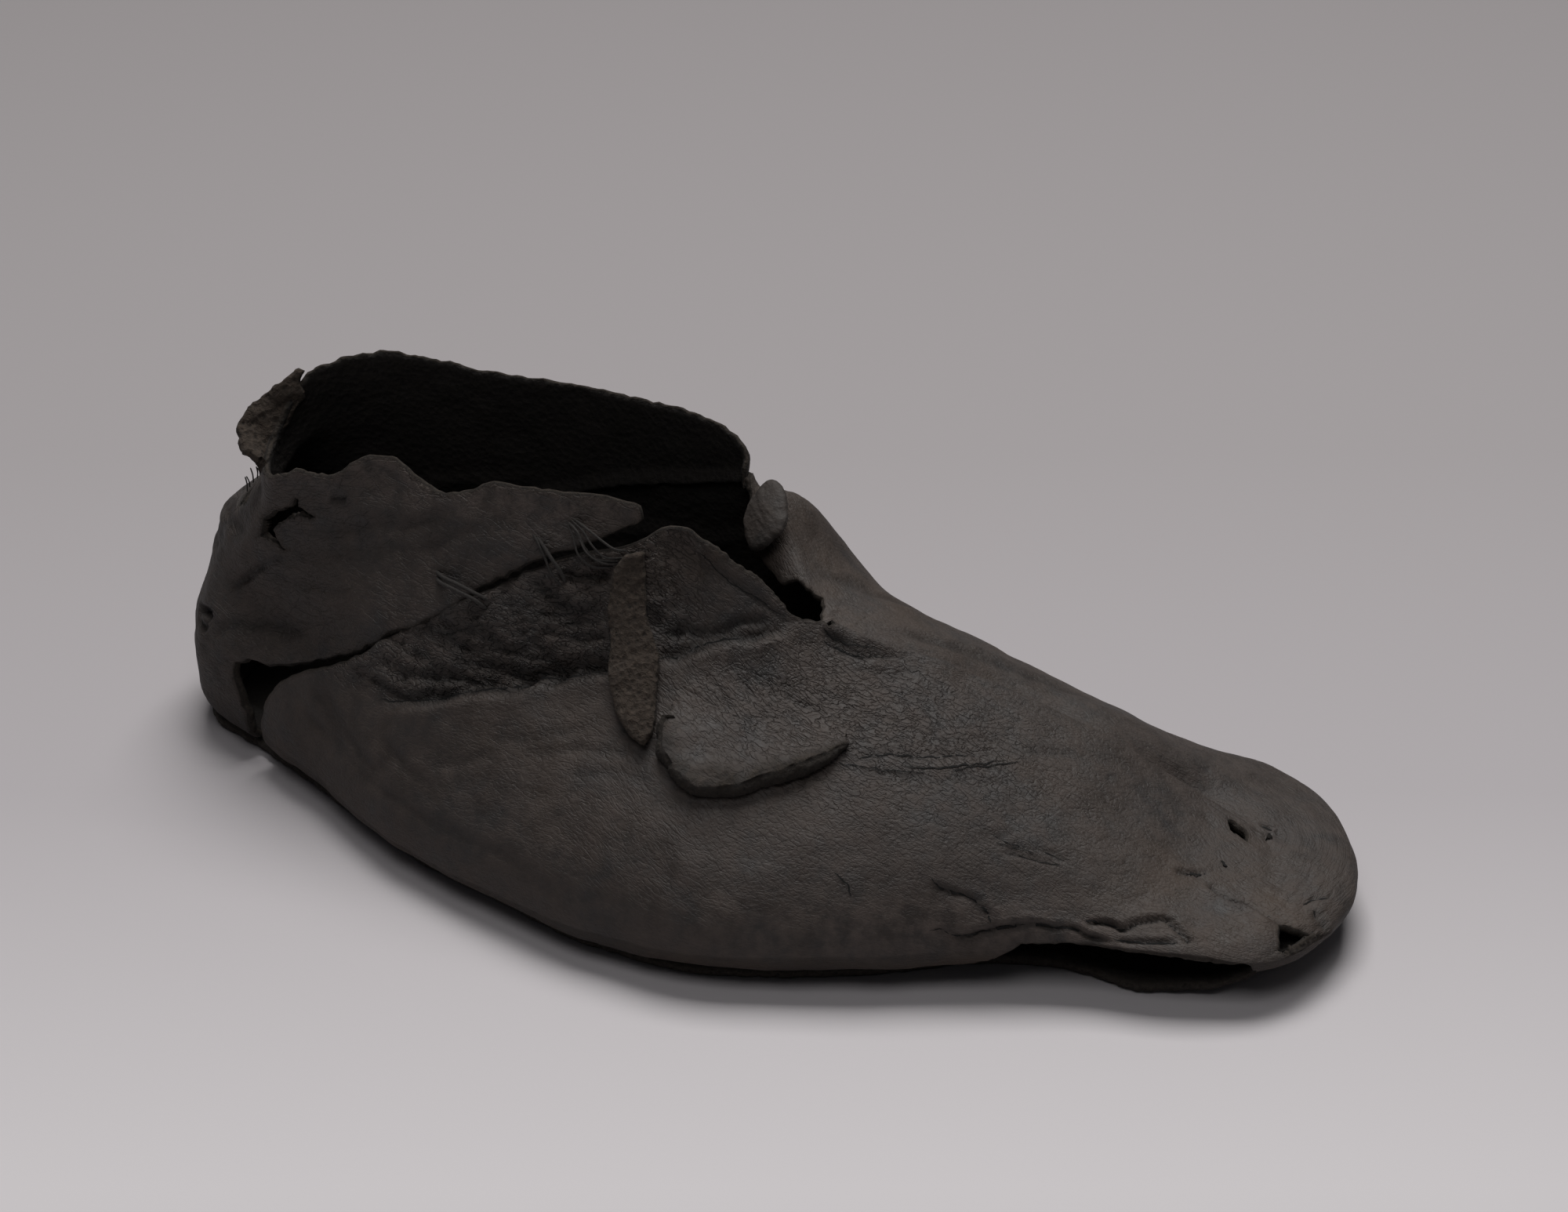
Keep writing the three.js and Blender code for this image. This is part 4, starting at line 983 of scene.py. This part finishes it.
def quarter():
    share = np.arange(QUARTER_STEPS + 1) / QUARTER_STEPS
    stations, levels = [], []
    for height in heights_of(QUARTER_WALL_ROWS):
        one = np.full(1, height)
        start = -seam_station(INNER_SEAM, -1, one, -1)
        end = seam_station(OUTER_SEAM, 1, one, -1)
        station = start + (end - start) * share
        left = np.interp(station, *QUARTER_RIM.T)
        levels.append(height * (left if height > 0 else np.ones_like(left)))
        stations.append(station)
    face = Sheet(np.array(stations), np.array(levels), torn, [STAR_TEAR, BACK_TEAR], (14.0, 48.0))
    points, normals = face.points, unit(smoothed(face.normals, face.faces, 2))
    station, height = face.places.T
    rise, depth = creased(points, laid(QUARTER_CREASES))
    flat = laid_flat(station, height, points)
    drift = drifted(flat, points, 1.5, 96)
    rise += 0.55 * cloudy(points / 16, 13) + 0.12 * cloudy(points / 4, 15)
    lines = 0.14 * folds(turned(drift, 24, 8, 1.9), 98) + 0.1 * folds(turned(drift, -30, 7, 2), 99)
    rise += lines * np.clip(0.5 + cloudy(points / 20, 100, 2), 0.15, 1)
    rise -= 2.0 * smooth(height, 0.84, 1) * smooth(station, 2.3, 2.8)
    start = -seam_station(INNER_SEAM, -1, height, -1)
    rise -= 1.3 * (1 - smooth(station - start, 0, 0.3))
    rise -= dented(station, height, QUARTER_DENTS)
    keep = smooth(height, -1.0, -0.4)
    points = points + normals * (rise * keep)[:, None]
    # painted shade in the creases; painted highlight making the outer quarter's top rim paler, on top of
    # even dust
    outer = smooth(station, 0.5, 1.5)
    marks = channels(points, depth * keep, 0, 0.15 + 0.5 * outer * smooth(height, 0.85, 1))
    zones = channels(points, 0.8, 0.25, 0.15)
    wall = FACE_WALL - 0.7 * smooth(height, 0.7, 1)
    return face, points, normals, wall, marks, zones, flat


shell_of("upper_quarter", "back_quarter", quarter(), 0.4, 0.7, UPPER)

# Sole: how far it reaches out past its seam, by station, negative on the inner side
SOLE_EDGE = np.array([
    (-12, 1), (-3, 1), (-2, 0.3), (2, 0.3), (3, 1), (8.6, 1), (9.2, 4), (9.8, 9), (10.4, 7.5),
    (10.8, 4), (11.2, 1.5), (12, 1),
])
SOLE_STEPS, SOLE_ACROSS = 240, 44


def sole():
    station = TIP * np.arange(SOLE_STEPS + 1) / SOLE_STEPS
    sides = []
    for side in (-1, 1):
        _, inward, _, seam = sole_seam(side * station)
        lip = np.interp(side * station, *SOLE_EDGE.T)
        sides.append(seam - inward * lip[:, None])
    share = (np.arange(SOLE_ACROSS + 1) / SOLE_ACROSS)[:, None, None]
    points = (sides[0] * (1 - share) + sides[1] * share).transpose(1, 0, 2).reshape(-1, 3)
    points[:, 2] = tread(points[:, 0]) + SOLE_WALL
    index = np.arange(len(points)).reshape(SOLE_STEPS + 1, SOLE_ACROSS + 1)
    first, faces = joined(points, grid_faces(index))
    points = points[first]
    if vertex_normals(points, faces)[:, 2].mean() < 0:
        faces = [face[::-1] for face in faces]
    normals = np.tile([0.0, 0.0, 1.0], (len(points), 1))
    wear = 0.12 * cloudy(points / 5, 23)
    # painted shade: the sole's top face, under the upper, is darkened towards near black through the fourth
    # channel; its underside and rims are cleared below
    marks, zones = channels(points, 0, 0.4, 0, 0.8), channels(points, 0, 0, 0.5)
    wall = SOLE_WALL - 0.2 + np.minimum(wear, 0.12)
    everything, all_faces, all_marks, all_zones = walled(
        points, faces, normals, wall, marks, zones, 0.3, 0.45
    )
    everything[:, 2] = np.maximum(everything[:, 2], tread(everything[:, 0]) + 0.02)
    all_marks[len(points):, 3] = 0
    make("tread_sole", everything, all_faces, SOLE, "sole", all_marks, all_zones)


sole()


def strap(low_edge, high_edge, thickness, sunk, columns, ring, ends, lumps, seed):
    """A closed strap laid on the forepart between two edges given as stations and heights."""
    low, high = np.array(low_edge), np.array(high_edge)
    share = np.linspace(0, 1, columns + 1)
    a = on_line(low, share * (len(low) - 1), False)
    b = on_line(high, share * (len(high) - 1), False)
    angle = np.linspace(0, 2 * math.pi, ring, endpoint=False)
    wide = np.sign(np.cos(angle)) * np.abs(np.cos(angle)) ** 0.55
    tall = np.sign(np.sin(angle)) * np.abs(np.sin(angle)) ** 0.7
    near_end = np.clip(1 - np.minimum(share, 1 - share) / ends, 0, 1)
    close = np.sqrt(1 - near_end**2)[:, None]
    across = 0.5 + 0.5 * wide[None] * (0.75 + 0.25 * close)
    place = (a[:, None] + (b - a)[:, None] * across[:, :, None]).reshape(-1, 2)
    lift = (sunk + thickness * (0.5 + 0.5 * tall[None] * close)).ravel()
    spot, away = skin(place[:, 0], place[:, 1]), outward(place[:, 0], place[:, 1])
    rise, _ = creased(spot, VAMP_ROWS)
    points = spot + away * (0.5 * np.maximum(rise, -0.6) + lift)[:, None]
    index = np.arange(len(points)).reshape(-1, ring)
    faces = ring_faces(index)
    normals = vertex_normals(points, faces)
    middle = points.mean(0)
    if ((points - middle) * normals).sum() < 0:
        faces = [face[::-1] for face in faces]
        normals = -normals
    return points + normals * (lumps * cloudy(points / 2.2, seed, 3))[:, None], faces


def tab():
    """The layer that grows out of the forepart and ends in a thick rough lower edge."""
    columns, rows = 150, 84
    low, high = np.array(TAB_LOW), np.array(TAB_HIGH)
    along = np.linspace(0, len(low) - 1, columns + 1)
    a, b = on_line(low, along, False), on_line(high, along, False)
    share = np.linspace(0, 1, rows + 1) ** 1.3
    place = (a[:, None] + (b - a)[:, None] * share[None, :, None]).reshape(-1, 2)
    up = np.tile(share, columns + 1)
    spot, away = skin(place[:, 0], place[:, 1]), outward(place[:, 0], place[:, 1])
    rise, marks, zones = fore_relief(place[:, 0], place[:, 1], spot)
    ends = np.repeat(np.minimum(along, along[::-1]), rows + 1)
    full = smooth(ends, -0.4, 1.6)
    lift = (3.0 * (1 - up) ** 1.9 - 0.45 * up**0.5) * (0.35 + 0.65 * full)
    lift = lift + 0.15 * cloudy(spot / 3, 43, 2) * (1 - up)
    points = spot + away * (rise + lift)[:, None]
    index = np.arange(len(points)).reshape(columns + 1, rows + 1)
    faces = grid_faces(index).tolist()
    normals = vertex_normals(points, faces)
    if (normals * away).sum() < 0:
        faces = [face[::-1] for face in faces]
        normals = -normals
    edge = np.exp(-((up / (0.12 + 0.05 * noise(spot / 6, 45))) ** 2))
    marks[:, 1] = np.clip(edge * (0.8 + 0.5 * noise(spot / 2, 44)), 0, 1)
    # the crease channel darkens the top face towards near black along the low edge
    marks[:, 0] = np.clip(marks[:, 0] + 0.75 * edge * (0.6 + 0.8 * noise(spot / 1.6, 46)), 0, 1)
    wall = np.maximum(lift - 0.1, 0.35)
    shaped = walled(points, faces, normals, wall, marks, zones, 0.4, 1.0, 4)
    everything, all_faces, all_marks, all_zones = shaped
    # painted shade: the underside and the rim are darkened towards near black
    all_marks[len(points):, 3] = 0.8
    flat = everything.copy()
    flat[: len(points)] = laid_flat(place[:, 0], place[:, 1], points)
    make(
        "tab_on_instep", everything, all_faces, UPPER, "instep_tab",
        all_marks, all_zones, flat,
    )


tab()

points, faces = strap(THONG_LEFT, THONG_RIGHT, 2.4, 0.3, 130, 48, 0.035, 0.2, 47)
make("thong_tie", points, faces, ROUGH, "tie_thong", channels(points, 0, 1))

left, right = ([(2 * TIP - s, h) for s, h in edge] for edge in (TIE_LEFT, TIE_RIGHT))
points, faces = strap(left, right, 2.2, 0.25, 60, 32, 0.12, 0.25, 53)
make("inner_tie", points, faces, UPPER, "far_tie", channels(points, 0, 0.25))


# Loose flap at the back of the collar, flesh side up
def flap():
    table = np.array(FLAP)
    columns, rows = 48, 26
    share = np.linspace(0, len(table) - 1, columns + 1)
    station, reach, side, rise = on_line(table, share, False).T
    left = np.interp(station, *QUARTER_RIM.T) - FLAP_ROOT
    root = torn(station, left) - outward(station, left) * UPPER_WALL / 2
    index = np.arange((columns + 1) * (rows + 1)).reshape(rows + 1, columns + 1)
    points = []
    for row in range(rows + 1):
        out = row / rows * FLAP_REACH
        lift = FLAP_ROOT * COLLAR_HEIGHT * math.sin(math.pi / 2 * row / rows)
        points.append(root + np.stack([-reach * out, side * out, rise * out + lift], -1))
    points = np.concatenate(points)
    faces = grid_faces(index).tolist()
    normals = vertex_normals(points, faces)
    points = points + normals * (1.0 + 0.35 * cloudy(points / 2.5, 61))[:, None]
    marks = channels(points, 0, 1)
    everything, all_faces, all_marks, all_zones = walled(
        points, faces, normals, 1.9, marks, marks * 0, 0.5, 1.0
    )
    all_marks[:, 3] = 0
    make("collar_flap", everything, all_faces, ROUGH, None, all_marks, all_zones)


flap()


def tube(route, thick, sides=6):
    """Points and faces of a tube along a route, tapered at its ends."""
    route = np.asarray(route, float)
    ahead = unit(np.gradient(route, axis=0))
    side = unit(np.cross(ahead, [0.13, 0.21, 0.97]))
    up = np.cross(side, ahead)
    count = len(route)
    angle = 2 * math.pi * np.arange(sides) / sides
    share = np.linspace(0, 1, count)
    radius = thick / 2 * (0.4 + 0.6 * smooth(share, 0, 0.1) * smooth(-share, -1, -0.9))
    rings = route[:, None] + radius[:, None, None] * (
        np.cos(angle)[None, :, None] * side[:, None] + np.sin(angle)[None, :, None] * up[:, None]
    )
    return rings.reshape(-1, 3), ring_faces(np.arange(count * sides).reshape(count, sides))


def bundle(name, routes, material):
    """Several tubes as one piece: each route has its points and its thickness."""
    points, faces = [], []
    for route, thick in routes:
        fine = on_line(np.array(route, float), np.linspace(0, len(route) - 1, 8 * len(route)), False)
        ring, quads = tube(fine, thick)
        start = sum(len(p) for p in points)
        points.append(ring)
        faces += [[i + start for i in quad] for quad in quads]
    return make(name, np.concatenate(points), faces, material)


def on_upper(path, lifts):
    """Points of a path of stations and heights, lifted off the skin."""
    path = np.array(path)
    return torn(path[:, 0], path[:, 1]) + outward(path[:, 0], path[:, 1]) * np.array(lifts)[:, None]


# Stitches across the open seam: stations and heights of each thread, and how far it stands off
STITCHES = [
    ([(3.62, 0.725), (3.7, 0.72), (3.85, 0.715), (4.0, 0.705),
      (4.08, 0.69)], [-0.6, 0.7, 1.3, 0.8, -0.6], 0.8),
    ([(3.6, 0.74), (3.7, 0.735), (3.86, 0.73), (4.0, 0.72),
      (4.1, 0.71)], [-0.6, 0.6, 1.2, 0.7, -0.6], 0.7),
    ([(4.26, 0.9), (4.33, 0.88), (4.4, 0.85), (4.46, 0.82),
      (4.5, 0.79)], [-0.6, 0.7, 1.3, 0.8, -0.5], 0.7),
    ([(4.24, 0.905), (4.3, 0.885), (4.36, 0.85), (4.42, 0.81),
      (4.5, 0.775)], [-0.6, 0.7, 1.0, 1.0, -0.5], 0.5),
    ([(4.45, 0.94), (4.52, 0.925), (4.58, 0.89), (4.66, 0.865),
      (4.78, 0.87)], [-0.5, 0.8, 1.4, 1.2, 0.5], 0.45),
    ([(4.47, 0.945), (4.55, 0.93), (4.62, 0.9), (4.7, 0.875),
      (4.8, 0.88)], [-0.5, 0.8, 1.6, 1.3, 0.5], 0.4),
    ([(4.45, 0.935), (4.5, 0.91), (4.55, 0.87), (4.64, 0.845),
      (4.76, 0.855)], [-0.5, 0.8, 1.5, 1.1, 0.4], 0.4),
    ([(4.48, 0.95), (4.58, 0.935), (4.67, 0.915), (4.75, 0.9),
      (4.82, 0.9)], [-0.5, 0.8, 1.3, 1.3, 0.5], 0.45),
    ([(4.46, 0.94), (4.53, 0.915), (4.6, 0.88), (4.7, 0.86),
      (4.8, 0.865)], [-0.5, 1.0, 2.0, 1.5, 0.4], 0.35),
]
bundle("seam_stitches", [(on_upper(path, lifts), thick) for path, lifts, thick in STITCHES], THREAD)

# Cracks and slits of the forepart, drawn as near-black strips that paint the shade inside them: width and
# path of station and height
CRACKS = [
    (0.45, [(8.36, 0.12), (8.44, 0.11), (8.54, 0.08), (8.62, 0.095), (8.72, 0.105), (8.78, 0.13),
            (8.9, 0.14),
            (8.96, 0.15), (9.06, 0.155), (9.14, 0.145), (9.22, 0.16), (9.3, 0.16), (9.38, 0.125),
            (9.48, 0.115)]),
    (0.5, [(9.36, 0.22), (9.42, 0.225), (9.58, 0.24), (9.66, 0.225), (9.76, 0.275), (9.94, 0.33)]),
    (0.4, [(9.6, 0.14), (9.8, 0.15), (10.0, 0.17), (10.12, 0.2)]),
    (0.9, [(9.98, 0.35), (10.0, 0.34), (10.1, 0.285), (10.2, 0.235)]),
    (0.7, [(9.98, 0.6), (10.1, 0.62), (10.26, 0.65)]),
    (0.9, [(10.32, 0.59), (10.44, 0.56), (10.6, 0.545), (10.72, 0.535)]),
    (0.35, [(10.72, 0.535), (10.84, 0.5), (10.94, 0.45)]),
    (0.35, [(8.3, 0.31), (8.38, 0.28), (8.52, 0.26), (8.62, 0.225), (8.7, 0.185), (8.72, 0.15)]),
    (0.22, [(8.56, 0.49), (8.72, 0.465), (8.92, 0.46), (9.1, 0.45)]),
    (0.2, [(8.74, 0.435), (8.9, 0.42), (9.1, 0.425)]),
    (0.2, [(8.62, 0.46), (8.78, 0.45), (8.9, 0.44)]),
    (0.3, [(7.6, 0.625), (7.82, 0.66), (8.06, 0.685), (8.3, 0.73)]),
    (0.3, [(7.9, 0.635), (8.1, 0.65), (8.3, 0.69), (8.5, 0.735)]),
    (0.25, [(8.2, 0.655), (8.4, 0.7), (8.6, 0.75)]),
    (0.25, [(7.5, 0.6), (7.8, 0.61), (8.05, 0.63)]),
    (0.6, [(11.48, 0.36), (11.5, 0.27), (11.5, 0.15), (11.49, 0.08)]),
    (0.35, [(11.4, 0.45), (11.54, 0.435), (11.62, 0.39), (11.72, 0.335)]),
    (0.5, [(10.38, 0.735), (10.42, 0.725), (10.46, 0.72)]),
    (0.6, [(12.95, 0.9), (13.05, 0.915), (13.15, 0.925)]),
    (0.3, [(7.02, 0.965), (7.12, 0.952), (7.26, 0.955), (7.42, 0.975)]),
    (0.3, [(7.05, 0.93), (7.2, 0.925), (7.34, 0.925), (7.5, 0.955)]),
    (0.35, [(3.46, 0.382), (3.6, 0.395), (3.9, 0.44), (4.12, 0.485), (4.4, 0.535), (4.5, 0.562),
            (4.66, 0.585), (4.86, 0.62)]),
    (0.3, [(5.3, 0.68), (5.54, 0.7), (5.72, 0.74), (6.02, 0.785), (6.3, 0.825)]),
    (0.2, [(5.4, 0.965), (5.9, 0.94), (6.3, 0.94), (6.6, 0.935)]),
    (0.25, [(7.72, 0.3), (7.8, 0.27), (7.86, 0.23)]),
]


def paint_crack_shade():
    points, faces = [], []
    start = 0
    for width, path in CRACKS:
        path = np.array(path)
        count = 14 * len(path)
        station, height = on_line(path, np.linspace(0, len(path) - 1, count), False).T
        spot, away = skin(station, height), outward(station, height)
        rise, _, _ = fore_relief(station, height, spot)
        side = unit(np.cross(away, np.gradient(spot, axis=0)))
        sway = 0.35 * cloudy(spot / 1.3, 111, 2) * min(1.0, width / 0.3)
        taper = np.sqrt(np.clip(np.sin(math.pi * np.linspace(0, 1, count)), 0, 1))
        half = width / 2 * taper * (1 + 0.6 * noise(spot / 0.7, 113))
        middle = spot + away * (rise + 0.13)[:, None] + side * sway[:, None]
        points += [middle + side * half[:, None], middle - side * half[:, None]]
        rows = np.arange(count - 1)
        strip = np.stack([rows, rows + 1, rows + 1 + count, rows + count], -1) + start
        faces += strip.tolist()
        start += 2 * count
    make("crack_shade_strips", np.concatenate(points), faces, PAINTED_CRACK_SHADE)


paint_crack_shade()

# Short fibres on the torn piece at the back of the heel
FIBRES = [(-0.35, 0.3, 2.2), (-0.25, 0.1, 3.0), (-0.15, -0.1, 2.4), (-0.42, -0.2, 1.8), (-0.05, 0.2, 2.8)]
routes = []
for station, lean, reach in FIBRES:
    foot = torn(np.array([station]), np.array([0.615]))[0]
    tip = foot + np.array([-0.2 * reach, lean * reach, reach])
    routes.append(([foot, (foot + tip) / 2 + [0.15, 0.1, 0], tip], 0.28))
bundle("heel_fibres", routes, THREAD)


# Pale floor with painted light falloff: its colour grows lighter towards the viewer
FLOOR_NEAR, FLOOR_MIDDLE = (0.62, 0.6, 0.615), (0.43, 0.41, 0.425)
FLOOR_BEHIND, FLOOR_FAR = (0.35, 0.332, 0.34), (0.28, 0.265, 0.27)
FLOOR_REACH = 6.0
FLOOR_DROP = 0.0001
WORLD_STRENGTH = 0.05


def floor():
    mesh = bpy.data.meshes.new("floor")
    corners = [(x * FLOOR_REACH, y * FLOOR_REACH, 0) for x, y in ((-1, -1), (1, -1), (1, 1), (-1, 1))]
    mesh.from_pydata(corners, [], [[0, 1, 2, 3]])
    tree = Tree("floor_paper")
    place = tree.add("TexCoord").outputs["Object"]
    split = tree.add("SeparateXYZ", {"Vector": place}).outputs
    depth = tree.plus(tree.times(split[0], -math.sin(turn_z)),
                      tree.times(split[1], math.cos(turn_z)))
    # painted light falloff: paler towards the viewer, darker behind
    body = tree.mix(tree.remap(depth, -0.15, -0.03), colour(*FLOOR_NEAR), colour(*FLOOR_MIDDLE))
    body = tree.mix(tree.remap(depth, -0.03, 0.1), body, colour(*FLOOR_BEHIND))
    body = tree.mix(tree.remap(depth, 0.1, 0.35), body, colour(*FLOOR_FAR))
    grain = tree.noise(place, 900.0, 3.0)
    bump = tree.add("Bump", {"Height": grain, "Distance": 0.00003, "Strength": 0.6})
    shader = tree.add("BsdfPrincipled", {
        "Base Color": body, "Roughness": 0.95, "Specular IOR Level": 0.1, "Normal": bump.outputs[0],
    })
    tree.add("OutputMaterial", {"Surface": shader.outputs[0]})
    mesh.materials.append(tree.material)
    plane = bpy.data.objects.new("floor", mesh)
    plane.location.z = -FLOOR_DROP
    bpy.context.collection.objects.link(plane)


floor()


def lamp(name, place, aim, size, power, tint):
    data = bpy.data.lights.new(name, "AREA")
    data.shape = "RECTANGLE"
    data.size, data.size_y = size
    data.energy = power
    data.color = tint
    light = bpy.data.objects.new(name, data)
    light.location = place
    light.rotation_euler = (Vector(aim) - Vector(place)).to_track_quat("-Z", "Y").to_euler()
    bpy.context.collection.objects.link(light)


CENTRE = (0.09, 0.0, 0.02)
lamp("key", (-0.03, 0.48, 1.25), CENTRE, (0.8, 0.7), 16.6, (1.0, 0.985, 0.97))
lamp("fill", (0.2, -0.6, 1.25), CENTRE, (0.7, 0.6), 3.3, (1.0, 0.98, 0.98))
world = bpy.data.worlds.new("studio")
world.use_nodes = True
world.node_tree.nodes["Background"].inputs[0].default_value = (0.95, 0.95, 1.0, 1.0)
world.node_tree.nodes["Background"].inputs[1].default_value = WORLD_STRENGTH
bpy.context.scene.world = world
bpy.context.scene.view_settings.view_transform = "Standard"
